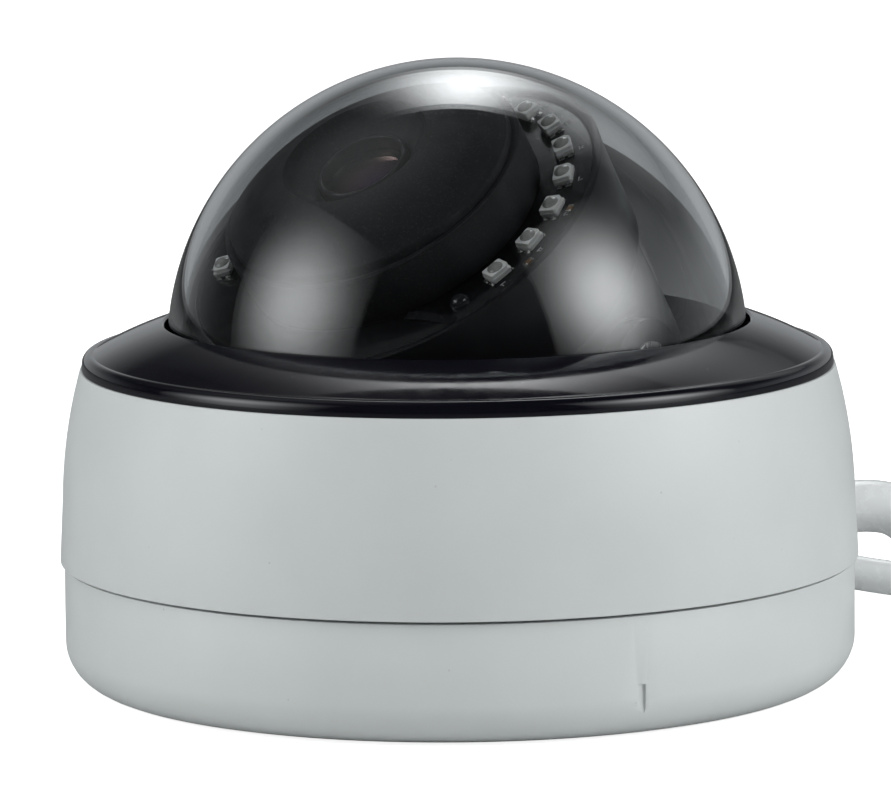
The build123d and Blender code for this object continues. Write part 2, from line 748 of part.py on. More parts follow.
with BuildPart() as tilt_screws:
    for side in (-1, 1):
        screw_plane = Plane(origin=dome_centre, x_dir=lens_axis, z_dir=tilt_axis * side)
        with BuildSketch(screw_plane.offset(boss_root)):
            Circle(pivot_shank_radius)
        extrude(amount=arm_inner - boss_root + 0.2)
        with BuildSketch(screw_plane.offset(arm_inner)):
            Circle(pivot_bore_radius - 0.05)
        extrude(amount=arm_thickness + 0.2)
        with BuildSketch(screw_plane.offset(arm_inner + arm_thickness + 0.15)):
            Circle(pivot_flange_radius)
        extrude(amount=0.6)
        with BuildSketch(screw_plane.offset(arm_inner + arm_thickness + 0.7)):
            Circle(pivot_head_radius)
        extrude(amount=pivot_head_height)
        with BuildSketch(screw_plane.offset(arm_inner + arm_thickness + 0.7 + pivot_head_height)):
            Rectangle(recess_length, recess_width)
            Rectangle(recess_width, recess_length)
        extrude(amount=-recess_depth, mode=Mode.SUBTRACT)
save(tilt_screws, "tilt_screws")

with BuildPart() as tilt_washers:
    for side in (-1, 1):
        washer_plane = Plane(origin=dome_centre, x_dir=lens_axis, z_dir=tilt_axis * side)
        with BuildSketch(washer_plane.offset(boss_reach + 0.02)):
            Circle(washer_radius)
            Circle(pivot_shank_radius + 0.1, mode=Mode.SUBTRACT)
        extrude(amount=washer_thickness)
save(tilt_washers, "tilt_washers")

# ---------------------------------------------------------------- camera ball, front half: rolls

spigot_radius = cup_inner_radius - spigot_gap
housing_bore = 27.5
led_seat = led_board_top - led_board_thickness

with BuildPart() as front_housing:
    with BuildSketch(head_section):
        band(housing_bore, spigot_radius, -0.4, housing_back + 0.1)
        band(spigot_radius - 0.1, spigot_radius + 0.6, 5.8, 6.8)
        band(housing_bore, housing_radius, housing_back, led_seat)
        band(led_board_radius + clearance, housing_radius, led_seat - 0.1, housing_front)
        band(housing_bore - 0.1, housing_radius - 2.2, 11.5, led_seat - 2.2, mode=Mode.SUBTRACT)
        band(24.0, housing_bore + 0.1, -0.4, 1.2)
    revolve(axis=head_axis)
    # roll stop tab on the spigot's end
    with BuildSketch(head.offset(-3.0)):
        with Locations((0, -28.1)):
            Rectangle(1.8, 1.8)
    extrude(amount=2.7)
    with Locations(head.offset(-0.4)):
        with PolarLocations(25.4, 3, start_angle=90):
            Cylinder(0.75, 1.4, align=from_bottom, mode=Mode.SUBTRACT)
save(front_housing, "front_housing")

processor_top = -0.4
processor_thickness = 1.2

with BuildPart() as processor_board:
    with BuildSketch(head.offset(processor_top - processor_thickness)):
        Circle(26.8)
        with PolarLocations(25.4, 3, start_angle=90):
            Circle(0.9, mode=Mode.SUBTRACT)
    extrude(amount=processor_thickness)
save(processor_board, "processor_board")

with BuildPart() as processor_chip:
    with BuildSketch(head.offset(processor_top - processor_thickness)):
        RectangleRounded(13, 13, 0.4)
    extrude(amount=-1.2)
save(processor_chip, "processor_chip")

with BuildPart() as processor_screws:
    with Locations(head.offset(processor_top - processor_thickness)):
        with PolarLocations(25.4, 3, start_angle=90):
            Cylinder(1.4, 1.0, align=from_top)
            Cylinder(0.7, processor_thickness + 1.2, align=from_bottom)
save(processor_screws, "processor_screws")

sensor_board_low = 2.0
sensor_board_thickness = 1.6
sensor_board_top = sensor_board_low + sensor_board_thickness

with BuildPart() as board_spacers:
    with Locations(head.offset(processor_top)):
        with GridLocations(24, 24, 2, 2):
            Cylinder(1.8, sensor_board_low - processor_top, align=from_bottom)
save(board_spacers, "board_spacers")

with BuildPart() as sensor_board:
    with BuildSketch(head.offset(sensor_board_low)):
        RectangleRounded(30, 30, 2)
    extrude(amount=sensor_board_thickness)
save(sensor_board, "sensor_board")

with BuildPart() as image_sensor:
    with BuildSketch(head.offset(sensor_board_top)):
        Rectangle(9.0, 7.0)
    extrude(amount=1.2)
save(image_sensor, "image_sensor")

# lens holder: a hollow block with the filter's slot, and a threaded collar for the lens
tray_low = 7.9
tray_thickness = 1.2
tray_travel = 6.2
holder_top = 12.0
collar_end = 20.0

with BuildPart() as lens_holder:
    with BuildSketch(head.offset(sensor_board_top)):
        RectangleRounded(26.4, 17.0, 1.5)
    extrude(amount=holder_top - sensor_board_top)
    with BuildSketch(head.offset(holder_top)):
        Circle(9.0)
    extrude(amount=collar_end - holder_top)
    with BuildSketch(head.offset(sensor_board_top)):
        Rectangle(14.0, 13.0)
    extrude(amount=tray_low - 0.2 - sensor_board_top, mode=Mode.SUBTRACT)
    with BuildSketch(head.offset(tray_low - 0.2)):
        Rectangle(23.6, 10.2)
    extrude(amount=tray_thickness + 0.4, mode=Mode.SUBTRACT)
    with BuildSketch(head.offset(tray_low)):
        Circle(5.0)
    extrude(amount=holder_top - tray_low, mode=Mode.SUBTRACT)
    with BuildSketch(head.offset(holder_top - 0.6)):
        Circle(lens_barrel_radius + 0.05)
    extrude(amount=collar_end - holder_top + 0.6, mode=Mode.SUBTRACT)
save(lens_holder, "lens_holder")

lens_barrel_low = 13.0
lens_barrel_front = 35.8
lens_bore_radius = 4.6
lens_glass_radius = 6.1
lens_glass_back = 32.6
lens_face_radius = 15.0
lens_face_crown = 35.2

with BuildPart() as lens_barrel:
    with BuildSketch(head_section):
        with BuildLine():
            Polyline(
                (lens_bore_radius, lens_barrel_low),
                (lens_barrel_radius, lens_barrel_low),
                (lens_barrel_radius, lens_barrel_front - 0.5),
                (lens_barrel_radius - 0.4, lens_barrel_front),
                (lens_glass_radius + 0.1, lens_barrel_front),
                (lens_glass_radius + 0.1, lens_glass_back - 0.1),
                (lens_bore_radius, lens_glass_back - 0.1),
                close=True,
            )
        make_face()
    revolve(axis=head_axis)
save(lens_barrel, "lens_barrel")

with BuildPart() as front_lens:
    with BuildSketch(head_section):
        with BuildLine():
            rim_sag = lens_face_radius - (lens_face_radius**2 - lens_glass_radius**2) ** 0.5
            rim_height = lens_face_crown - rim_sag
            RadiusArc((0, lens_face_crown), (lens_glass_radius, rim_height), lens_face_radius)
            Polyline(
                (lens_glass_radius, rim_height),
                (lens_glass_radius, lens_glass_back),
                (0, lens_glass_back),
                (0, lens_face_crown),
            )
        make_face()
    revolve(axis=head_axis)
save(front_lens, "front_lens")

with BuildPart() as rear_lens:
    with BuildSketch(head.offset(14.0)):
        Circle(4.5)
    extrude(amount=2.5)
save(rear_lens, "rear_lens")

with BuildPart() as lens_lock_ring:
    with BuildSketch(head.offset(collar_end + 0.1)):
        Circle(9.2)
        Circle(lens_barrel_radius + 0.05, mode=Mode.SUBTRACT)
    extrude(amount=1.8)
save(lens_lock_ring, "lens_lock_ring")

with BuildPart() as filter_coil:
    with BuildSketch(head.offset(sensor_board_top)):
        with Locations((0, 11.3)):
            RectangleRounded(9.0, 5.4, 1.0)
    extrude(amount=5.0)
save(filter_coil, "filter_coil")

# filter tray: slides so that one window or the other stands in front of the sensor
window_radius = 2.7

with BuildPart() as filter_tray:
    with BuildSketch(head.offset(tray_low)):
        with Locations((tray_travel / 2, 0)):
            Rectangle(16.4, 9.6)
        with Locations((0, 0), (tray_travel, 0)):
            Circle(window_radius, mode=Mode.SUBTRACT)
    extrude(amount=tray_thickness)
save(filter_tray, "filter_tray")

with BuildPart() as infrared_filter:
    with BuildSketch(head.offset(tray_low + 0.3)):
        Circle(window_radius)
    extrude(amount=0.5)
save(infrared_filter, "infrared_cut_filter")

with BuildPart() as clear_filter:
    with BuildSketch(head.offset(tray_low + 0.3)):
        with Locations((tray_travel, 0)):
            Circle(window_radius)
    extrude(amount=0.5)
save(clear_filter, "clear_filter")

# infrared light board and what stands on it
with BuildPart() as led_board:
    with BuildSketch(head.offset(led_seat)):
        Circle(led_board_radius)
        Circle(10.0, mode=Mode.SUBTRACT)
    extrude(amount=led_board_thickness)
save(led_board, "led_board")

led_length = 3.5
led_width = 2.8
led_height = 1.5
led_lens_radius = 1.2

with BuildPart() as infrared_leds:
    with Locations(head.offset(led_board_top)):
        for led in range(led_count):
            with PolarLocations(led_circle, 1, start_angle=led_first_angle + led * led_pitch):
                Box(led_width, led_length, led_height, align=from_bottom)
save(infrared_leds, "infrared_leds")

with BuildPart() as led_lenses:
    with Locations(head.offset(led_board_top + led_height)):
        for led in range(led_count):
            with PolarLocations(led_circle, 1, start_angle=led_first_angle + led * led_pitch):
                Cylinder(led_lens_radius, 0.5, align=from_bottom)
    fillet(led_lenses.edges().filter_by(GeomType.CIRCLE).group_by(SortBy.LENGTH)[0].filter_by(
        lambda edge: (edge.arc_center - dome_centre).dot(lens_axis) > led_board_top + led_height + 0.25
    ), 0.4)
save(led_lenses, "led_lenses")

light_sensor_angle = -32.0
ribbon_middle = (20.15, -18.25)
ribbon_length = 9.0
ribbon_width = 1.6
ribbon_thickness = 0.3

with BuildPart() as light_sensor:
    with Locations(head.offset(led_board_top)):
        with PolarLocations(led_circle, 1, start_angle=light_sensor_angle):
            Cylinder(1.5, 1.3, align=from_bottom)
save(light_sensor, "light_sensor")

with BuildPart() as board_resistors:
    with Locations(head.offset(led_board_top)):
        for resistor_angle in (12.0, -10.0):
            with PolarLocations(30.2, 1, start_angle=resistor_angle):
                Box(0.8, 1.6, 0.45, align=from_bottom)
save(board_resistors, "board_resistors")

with BuildPart() as led_ribbon:
    with Locations(head.offset(led_board_top)):
        with Locations(ribbon_middle):
            Box(ribbon_length, ribbon_width, ribbon_thickness, align=from_bottom)
save(led_ribbon, "led_ribbon")

# light shroud: a soft ring that keeps the infrared light out of the lens
with BuildPart() as light_shroud:
    with BuildSketch(head_section):
        with BuildLine():
            rim_radius = shroud_radius - 0.8
            rim_height = (shroud_cap_radius**2 - rim_radius**2) ** 0.5
            well_radius = 10.5
            well_height = (shroud_cap_radius**2 - well_radius**2) ** 0.5
            Line((shroud_radius, led_board_top), (shroud_radius, rim_height - 0.8))
            Line((shroud_radius, rim_height - 0.8), (rim_radius, rim_height))
            RadiusArc((rim_radius, rim_height), (well_radius, well_height), -shroud_cap_radius)
            Line((well_radius, well_height), (8.8, 34.4))
            Line((8.8, 34.4), (lens_barrel_radius + 0.3, 34.0))
            Line((lens_barrel_radius + 0.3, 34.0), (lens_barrel_radius + 0.3, 28.0))
            Line((lens_barrel_radius + 0.3, 28.0), (shroud_radius - 2.2, 28.0))
            Line((shroud_radius - 2.2, 28.0), (shroud_radius - 2.2, led_board_top))
            Line((shroud_radius - 2.2, led_board_top), (shroud_radius, led_board_top))
        make_face()
    revolve(axis=head_axis)
save(light_shroud, "light_shroud")

# ---------------------------------------------------------------- leads inside the base

lead_reach = header_reach + header_depth / 2 + 0.05

with BuildPart() as board_leads:
    for shift in (-4.4, -2.2, 0.0, 2.2):
        lead_start = port_out * 44.6 + along_wall * shift + Vector(0, 0, cable_height)
        lead_end = port_out * lead_reach + along_wall * (shift - 1.0) + Vector(0, 0, board_top + 1.2)
        with BuildLine():
            lead = Spline(lead_start, lead_end, tangents=[-port_out, -port_out])
        with BuildSketch(Plane(origin=lead_start, z_dir=-port_out)):
            Circle(0.6)
        sweep(path=lead)
save(board_leads, "board_leads")
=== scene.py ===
import json
import math

import bmesh
import bpy
from mathutils import Matrix, Vector

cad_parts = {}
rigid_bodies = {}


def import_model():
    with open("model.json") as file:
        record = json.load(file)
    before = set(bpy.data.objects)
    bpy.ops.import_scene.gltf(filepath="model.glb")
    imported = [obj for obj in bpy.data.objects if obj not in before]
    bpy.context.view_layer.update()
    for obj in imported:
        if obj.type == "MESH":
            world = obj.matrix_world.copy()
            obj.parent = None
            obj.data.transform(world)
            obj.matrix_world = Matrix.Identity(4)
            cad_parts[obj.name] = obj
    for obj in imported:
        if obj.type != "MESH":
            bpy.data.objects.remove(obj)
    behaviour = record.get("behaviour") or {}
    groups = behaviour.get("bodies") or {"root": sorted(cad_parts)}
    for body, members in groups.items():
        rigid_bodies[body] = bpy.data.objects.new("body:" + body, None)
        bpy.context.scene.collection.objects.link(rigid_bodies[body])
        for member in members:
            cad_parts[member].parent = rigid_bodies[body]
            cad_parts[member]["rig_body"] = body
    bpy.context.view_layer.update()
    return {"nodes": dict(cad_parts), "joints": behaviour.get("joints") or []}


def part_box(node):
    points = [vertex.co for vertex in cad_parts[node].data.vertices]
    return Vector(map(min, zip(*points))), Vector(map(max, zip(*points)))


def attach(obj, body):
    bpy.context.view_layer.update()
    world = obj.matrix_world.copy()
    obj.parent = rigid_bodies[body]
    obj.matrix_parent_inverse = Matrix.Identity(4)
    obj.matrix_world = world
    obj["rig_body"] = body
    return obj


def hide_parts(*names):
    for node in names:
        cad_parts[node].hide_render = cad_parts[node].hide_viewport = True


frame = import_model()

# Lengths below are millimetres; finish_piece() turns a built mesh into metres once.
MM = 0.001
FULL_TURN = 2 * math.pi
joints = {joint["name"]: joint for joint in frame["joints"]}


def height_span(node):
    """A CAD node's lowest and highest z, in millimetres."""
    low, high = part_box(node)
    return low.z / MM, high.z / MM


def turned(degrees, axis="Z"):
    """A rotation matrix about an axis."""
    return Matrix.Rotation(math.radians(degrees), 4, axis)


def at(x, y, z):
    """A translation matrix."""
    return Matrix.Translation((x, y, z))


def frame_from(x_axis, z_axis, origin):
    """A frame as a matrix, from two axes and an origin in millimetres."""
    z_axis = z_axis.normalized()
    x_axis = (x_axis - x_axis.dot(z_axis) * z_axis).normalized()
    turn = Matrix((x_axis, z_axis.cross(x_axis), z_axis)).transposed().to_4x4()
    return Matrix.Translation(origin) @ turn


# ---------------------------------------------------------------- sizes taken from the frame

WORLD = Matrix.Identity(4)
dome_centre = Vector(joints["tilt"]["pos_m"]) / MM
tilt_axis = Vector(joints["tilt"]["axis"])
lens_axis = Vector(joints["roll"]["axis"])
# HEAD's z runs along the lens axis and its x along the tilt axis, from the dome's centre
HEAD = frame_from(tilt_axis, lens_axis, dome_centre)

cover_low, cover_top = height_span("upper_cover")
cover_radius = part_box("upper_cover")[1].x / MM
dome_low, dome_top = height_span("dome")
dome_radius = dome_top - dome_centre.z
dome_wall = 2.0
dome_flange_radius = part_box("dome")[1].x / MM
trim_top = height_span("trim_ring")[1]
base_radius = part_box("base_shell")[1].x / MM


def along_lens(node):
    """A CAD node's nearest and furthest extent along the lens axis, from the dome's centre."""
    spots = [vertex.co / MM - dome_centre for vertex in frame["nodes"][node].data.vertices]
    heights = [spot.dot(lens_axis) for spot in spots]
    return min(heights), max(heights)


def reach_from_lens(node):
    """A CAD node's furthest extent out from the lens axis."""
    spots = [vertex.co / MM - dome_centre for vertex in frame["nodes"][node].data.vertices]
    return max((spot - spot.dot(lens_axis) * lens_axis).length for spot in spots)


led_board_top = along_lens("led_board")[1]
shroud_radius = reach_from_lens("light_shroud")
shroud_cap_radius = 39.8
lens_radius = reach_from_lens("lens_barrel")
lens_low, lens_front = along_lens("lens_barrel")
lens_glass_radius = reach_from_lens("front_lens")
glass_low, glass_crown = along_lens("front_lens")

# ---------------------------------------------------------------- outlines


def arc(start, via, end, steps=12):
    """Points on the circular arc through three points, without the first."""
    (ax, ay), (bx, by), (cx, cy) = start, via, end
    d = 2 * (ax * (by - cy) + bx * (cy - ay) + cx * (ay - by))
    a2, b2, c2 = ax * ax + ay * ay, bx * bx + by * by, cx * cx + cy * cy
    ux = (a2 * (by - cy) + b2 * (cy - ay) + c2 * (ay - by)) / d
    uy = (a2 * (cx - bx) + b2 * (ax - cx) + c2 * (bx - ax)) / d
    radius = math.hypot(ax - ux, ay - uy)
    first = math.atan2(ay - uy, ax - ux)
    middle = math.atan2(by - uy, bx - ux)
    last = math.atan2(cy - uy, cx - ux)
    sweep = (last - first) % FULL_TURN
    if (middle - first) % FULL_TURN > sweep:
        sweep -= FULL_TURN
    turns = [first + sweep * step / steps for step in range(1, steps + 1)]
    return [(ux + radius * math.cos(turn), uy + radius * math.sin(turn)) for turn in turns]


def eased(outline, size, steps=3, sharp=25.0):
    """The closed outline with each corner sharper than the given angle rounded off."""
    points = [Vector(point) for point in outline]
    result = []
    for index, corner in enumerate(points):
        before = points[index - 1] - corner
        after = points[(index + 1) % len(points)] - corner
        bend = 180.0 - math.degrees(before.angle(after)) if before.length and after.length else 0.0
        if corner.x < 1e-6 or bend < sharp:
            result.append(tuple(corner))
            continue
        cut = min(size * math.tan(math.radians(bend) / 2), 0.45 * before.length, 0.45 * after.length)
        start = corner + before.normalized() * cut
        end = corner + after.normalized() * cut
        for step in range(steps + 1):
            share = step / steps
            near = start.lerp(corner, share)
            far = corner.lerp(end, share)
            result.append(tuple(near.lerp(far, share)))
    return result


# ---------------------------------------------------------------- mesh building


def lathe(outline, place=WORLD, steps=160, build=None):
    """Turn a closed outline of (radius, height) points about the z axis of a frame."""
    build = build or bmesh.new()
    rings = []
    for radius, height in outline:
        if radius < 1e-6:
            rings.append([build.verts.new(place @ Vector((0, 0, height)))])
            continue
        turns = [FULL_TURN * step / steps for step in range(steps)]
        spots = [Vector((radius * math.cos(turn), radius * math.sin(turn), height)) for turn in turns]
        rings.append([build.verts.new(place @ spot) for spot in spots])
    for ring, following in zip(rings, rings[1:] + rings[:1]):
        for step in range(steps):
            after = (step + 1) % steps
            if len(ring) == 1 and len(following) == 1:
                break
            if len(ring) == 1:
                build.faces.new((ring[0], following[step], following[after]))
            elif len(following) == 1:
                build.faces.new((ring[step], following[0], ring[after]))
            else:
                build.faces.new((ring[step], following[step], following[after], ring[after]))
    return build


def block(size, place=WORLD, ease=0.15, build=None):
    """A box with rounded edges, its middle at the frame's origin."""
    build = build or bmesh.new()
    piece = bmesh.new()
    bmesh.ops.create_cube(piece, size=1.0)
    bmesh.ops.scale(piece, vec=size, verts=piece.verts)
    if ease:
        bmesh.ops.bevel(piece, geom=piece.edges[:], offset=ease, segments=2, profile=0.5, affect="EDGES")
    return merge(build, piece, place)


def skin(build, rings):
    """Cover a row of vertex rings with faces, and close its two ends."""
    for ring, following in zip(rings, rings[1:]):
        for index in range(len(ring)):
            after = (index + 1) % len(ring)
            build.faces.new((ring[index], ring[after], following[after], following[index]))
    build.faces.new(rings[0])
    build.faces.new(rings[-1])


def merge(build, piece, place=WORLD):
    """Copy one mesh under construction into another, and free it."""
    spots = {vertex: build.verts.new(place @ vertex.co) for vertex in piece.verts}
    for face in piece.faces:
        build.faces.new([spots[vertex] for vertex in face.verts])
    piece.free()
    return build


def finish_piece(build, name, body, finish, stands_for=(), sharp=40.0):
    """Turn a built mesh into a named piece that rides on a body and wears a finish.

    Its material slot holds the finish of that name."""
    bmesh.ops.recalc_face_normals(build, faces=build.faces)
    bmesh.ops.scale(build, vec=(MM, MM, MM), verts=build.verts)
    mesh = bpy.data.meshes.new(name)
    build.to_mesh(mesh)
    build.free()
    mesh.shade_smooth()
    mesh.set_sharp_from_angle(angle=math.radians(sharp))
    piece = bpy.data.objects.new(name, mesh)
    bpy.context.scene.collection.objects.link(piece)
    mesh.materials.append(finishes[finish])
    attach(piece, body)
    if stands_for:
        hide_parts(*stands_for)
    return piece


def body_of_node(node):
    """The name of the body that a CAD node rides on."""
    return frame["nodes"][node]["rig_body"]


def refined(node, finish, ease=0.15, sharp=35.0):
    """A CAD node's own shape with its hard edges rounded over, standing for that node."""
    build = bmesh.new()
    build.from_mesh(frame["nodes"][node].data)
    bmesh.ops.scale(build, vec=(1 / MM, 1 / MM, 1 / MM), verts=build.verts)
    bmesh.ops.remove_doubles(build, verts=build.verts, dist=0.0005)
    flat = math.radians(0.5)
    bmesh.ops.dissolve_limit(build, angle_limit=flat, verts=build.verts, edges=build.edges)
    hard = math.radians(sharp)
    edges = [e for e in build.edges if len(e.link_faces) == 2 and e.calc_face_angle(0.0) > hard]
    bmesh.ops.bevel(
        build, geom=edges, offset=ease, offset_type="OFFSET", segments=2, profile=0.5,
        affect="EDGES", clamp_overlap=True,
    )
    name = node + "_finished"
    return finish_piece(build, name, body_of_node(node), finish, [node], sharp=50.0)


def keep(node, finish):
    """Show a CAD node as it is, in a finish."""
    mesh = frame["nodes"][node].data
    mesh.materials.clear()
    mesh.materials.append(finishes[finish])


def cut_away(target, cutter):
    """Take one mesh under construction out of another, and return what is left."""
    made = []
    for build, name in ((target, "cut_target"), (cutter, "cut_tool")):
        bmesh.ops.recalc_face_normals(build, faces=build.faces)
        mesh = bpy.data.meshes.new(name)
        build.to_mesh(mesh)
        build.free()
        piece = bpy.data.objects.new(name, mesh)
        bpy.context.scene.collection.objects.link(piece)
        made.append(piece)
    shape, tool = made
    modifier = shape.modifiers.new("cut", "BOOLEAN")
    modifier.operation = "DIFFERENCE"
    modifier.solver = "EXACT"
    modifier.use_self = True
    modifier.object = tool
    graph = bpy.context.evaluated_depsgraph_get()
    result = bmesh.new()
    result.from_object(shape, graph)
    for piece in made:
        mesh = piece.data
        bpy.data.objects.remove(piece)
        bpy.data.meshes.remove(mesh)
    return result


# ---------------------------------------------------------------- finishes


def wired(tree, kind, *sources, operation=None, **values):
    """A new shader node: its first inputs linked to sources, others set by name, "_" for a space."""
    node = tree.nodes.new(kind)
    if operation:
        node.operation = operation
    for socket, source in zip(node.inputs, sources):
        tree.links.new(source, socket)
    for key, value in values.items():
        node.inputs[key.replace("_", " ")].default_value = value
    return node


finishes = {}  # every material, by name


class Finish:
    """A material being built: one Principled shader and the pattern nodes that feed it."""

    def __init__(self, name, colour, roughness, **inputs):
        self.material = bpy.data.materials.new(name)
        self.material.use_nodes = True
        finishes[name] = self.material
        self.tree = self.material.node_tree
        self.shader = self.tree.nodes["Principled BSDF"]
        self.output = self.tree.nodes["Material Output"]
        self.place = self.add("ShaderNodeTexCoord").outputs["Object"]
        self.height = None
        self.set("Base Color", (*colour, 1.0))
        self.set("Roughness", roughness)
        for key, value in inputs.items():
            self.set(key.replace("_", " "), value)
        self.material.diffuse_color = (*colour, 1.0)

    def add(self, kind, **settings):
        node = self.tree.nodes.new(kind)
        for key, value in settings.items():
            setattr(node, key, value)
        return node

    def link(self, source, target):
        self.tree.links.new(source, target)

    def set(self, key, value):
        if isinstance(value, bpy.types.NodeSocket):
            self.link(value, self.shader.inputs[key])
        else:
            self.shader.inputs[key].default_value = value

    def stretched(self, across, up, through):
        """The object's coordinates, scaled unevenly, for streaks."""
        scale = across, up, through
        return wired(self.tree, "ShaderNodeMapping", self.place, Scale=scale).outputs["Vector"]

    def noise(self, size, detail=3.0, place=None):
        """Soft noise whose blotches are about so many millimetres across."""
        scale = 1 / (size * MM)
        node = wired(self.tree, "ShaderNodeTexNoise", place or self.place, Scale=scale, Detail=detail)
        return node.outputs["Fac"]

    def cells(self, size, feature="F1"):
        """Distance within cells that are about so many millimetres across."""
        node = self.add("ShaderNodeTexVoronoi", feature=feature)
        node.inputs["Scale"].default_value = 1 / (size * MM)
        self.link(self.place, node.inputs["Vector"])
        return node.outputs["Distance"]

    def between(self, value, low, high, to_low=0.0, to_high=1.0):
        """Map a value's range onto another range, held at both ends."""
        ranges = {"From_Min": low, "From_Max": high, "To_Min": to_low, "To_Max": to_high}
        return wired(self.tree, "ShaderNodeMapRange", value, **ranges).outputs["Result"]

    def patches(self, size, low, high, to_low=0.0, to_high=1.0, detail=3.0):
        """Noise with its middle range spread over another range."""
        return self.between(self.noise(size, detail), low, high, to_low, to_high)

    def product(self, one, other):
        return wired(self.tree, "ShaderNodeMath", one, other, operation="MULTIPLY").outputs[0]

    def blend(self, share, one, other):
        """A colour between two colours, by a share from 0 to 1."""
        node = self.add("ShaderNodeMix", data_type="RGBA")
        self.link(share, node.inputs[0])
        for socket, colour in ((node.inputs[6], one), (node.inputs[7], other)):
            if isinstance(colour, bpy.types.NodeSocket):
                self.link(colour, socket)
            else:
                socket.default_value = (*colour, 1.0)
        return node.outputs[2]

    def tint(self, share, one, other):
        """Colour the surface between two colours."""
        self.set("Base Color", self.blend(share, one, other))

    def bump(self, height, depth, strength=1.0):
        """Raise the surface by a pattern, so many millimetres deep, on top of earlier bumps."""
        node = wired(self.tree, "ShaderNodeBump", Distance=depth * MM, Strength=strength)
        self.link(height, node.inputs["Height"])
        if self.height is not None:
            self.link(self.height, node.inputs["Normal"])
        self.height = node.outputs["Normal"]
        self.link(self.height, self.shader.inputs["Normal"])
        return self

    def show_to(self, rays, other):
        """Let one kind of ray meet another shader."""
        path = self.add("ShaderNodeLightPath")
        sources = path.outputs[rays], self.shader.outputs["BSDF"], other
        mixed = wired(self.tree, "ShaderNodeMixShader", *sources)
        self.link(mixed.outputs["Shader"], self.output.inputs["Surface"])


def moulded(name, colour, roughness, grain=0.25, depth=0.012, shift=0.06, **inputs):
    """Moulded plastic or rubber: a fine grain, slow colour drift and uneven gloss."""
    made = Finish(name, colour, roughness, **inputs)
    paler = tuple(min(1.0, part * (1 + shift)) for part in colour)
    darker = tuple(part * (1 - shift) for part in colour)
    made.tint(made.patches(14.0, 0.35, 0.65), darker, paler)
    made.set("Roughness", made.patches(5.0, 0.3, 0.7, roughness * 0.88, roughness * 1.12, detail=4.0))
    made.bump(made.noise(grain, 4.0), depth)
    return made


def white_shell():
    """Satin white: a very fine moulded grain, faint mottling and a few specks and rubs."""
    made = Finish("white_shell", (0.63, 0.655, 0.65), 0.42)
    drift = made.patches(22.0, 0.35, 0.65, detail=4.0)
    drift = made.blend(drift, (0.615, 0.64, 0.635), (0.645, 0.67, 0.665))
    specks = made.between(made.cells(3.4), 0.035, 0.06, 0.55, 0.0)
    sparse = made.product(specks, made.patches(9.0, 0.56, 0.60))
    made.tint(sparse, drift, (0.42, 0.42, 0.41))
    made.set("Roughness", made.patches(6.0, 0.3, 0.7, 0.38, 0.47, detail=5.0))
    made.bump(made.noise(0.32, 3.0), 0.010)
    made.bump(made.noise(7.0, 2.0), 0.02, 0.5)


def black_gloss_trim():
    """Piano black: a clear coat over black, with a trace of orange peel and fine dust."""
    made = Finish("black_gloss_trim", (0.004, 0.004, 0.007), 0.10, Coat_Weight=0.25, Coat_Roughness=0.04)
    dust = made.between(made.cells(2.6), 0.03, 0.05, 0.30, 0.0)
    dust = made.product(dust, made.patches(12.0, 0.52, 0.58))
    made.tint(dust, (0.004, 0.004, 0.007), (0.30, 0.30, 0.30))
    made.set("Roughness", made.patches(3.0, 0.35, 0.7, 0.07, 0.13, detail=5.0))
    made.bump(made.noise(1.6, 2.0), 0.004)


def clear_dome():
    """Lightly smoked polycarbonate: refracts for the eye, and lets light straight through."""
    made = Finish("clear_dome", (0.82, 0.835, 0.84), 0.0, Transmission_Weight=1.0, IOR=1.585)
    dust = made.between(made.cells(2.2), 0.018, 0.034, 0.5, 0.0)
    dust = made.product(dust, made.patches(8.0, 0.50, 0.56))
    made.tint(dust, (0.82, 0.835, 0.84), (0.9, 0.9, 0.9))
    made.set("Roughness", made.patches(11.0, 0.45, 0.75, 0.0, 0.03, detail=5.0))
    passing = wired(made.tree, "ShaderNodeBsdfTransparent", Color=(0.90, 0.91, 0.915, 1.0))
    made.show_to("Is Shadow Ray", passing.outputs["BSDF"])


def shroud_rubber():
    """Soft black rubber with a fine pale speckle."""
    made = moulded("shroud_rubber", (0.009, 0.009, 0.010), 0.62, grain=0.4, depth=0.03)
    speck = made.patches(0.28, 0.58, 0.72, detail=1.0)
    made.tint(speck, (0.006, 0.006, 0.007), (0.026, 0.026, 0.027))


def foam_rubber():
    """Closed-cell foam: small open pores on a black ground."""
    made = Finish("foam_rubber", (0.02, 0.02, 0.02), 0.85)
    pores = made.between(made.cells(0.5), 0.0, 0.45)
    made.tint(pores, (0.006, 0.006, 0.006), (0.035, 0.035, 0.036))
    made.bump(pores, 0.08)


def circuit_board(name, mask, copper, roughness):
    """A board under solder mask: traces and vias show through as a faint relief."""
    made = Finish(name, mask, roughness, Coat_Weight=0.4, Coat_Roughness=0.12)
    brick = made.add("ShaderNodeTexBrick")
    brick.inputs["Scale"].default_value = 1 / (9.0 * MM)
    brick.inputs["Mortar Size"].default_value = 0.035
    made.link(made.place, brick.inputs["Vector"])
    tracks = made.between(made.cells(4.0, "DISTANCE_TO_EDGE"), 0.02, 0.05, 1.0, 0.0)
    vias = made.between(made.cells(2.3), 0.10, 0.13, 1.0, 0.0)
    relief = made.add("ShaderNodeMath", operation="MAXIMUM")
    made.link(made.product(tracks, brick.outputs["Fac"]), relief.inputs[0])
    made.link(made.product(vias, made.patches(6.0, 0.5, 0.55)), relief.inputs[1])
    made.tint(relief.outputs[0], mask, copper)
    made.set("Roughness", made.patches(2.0, 0.3, 0.7, roughness * 0.8, roughness * 1.3, detail=4.0))
    made.bump(relief.outputs[0], 0.03)
    made.bump(made.noise(0.5), 0.004)


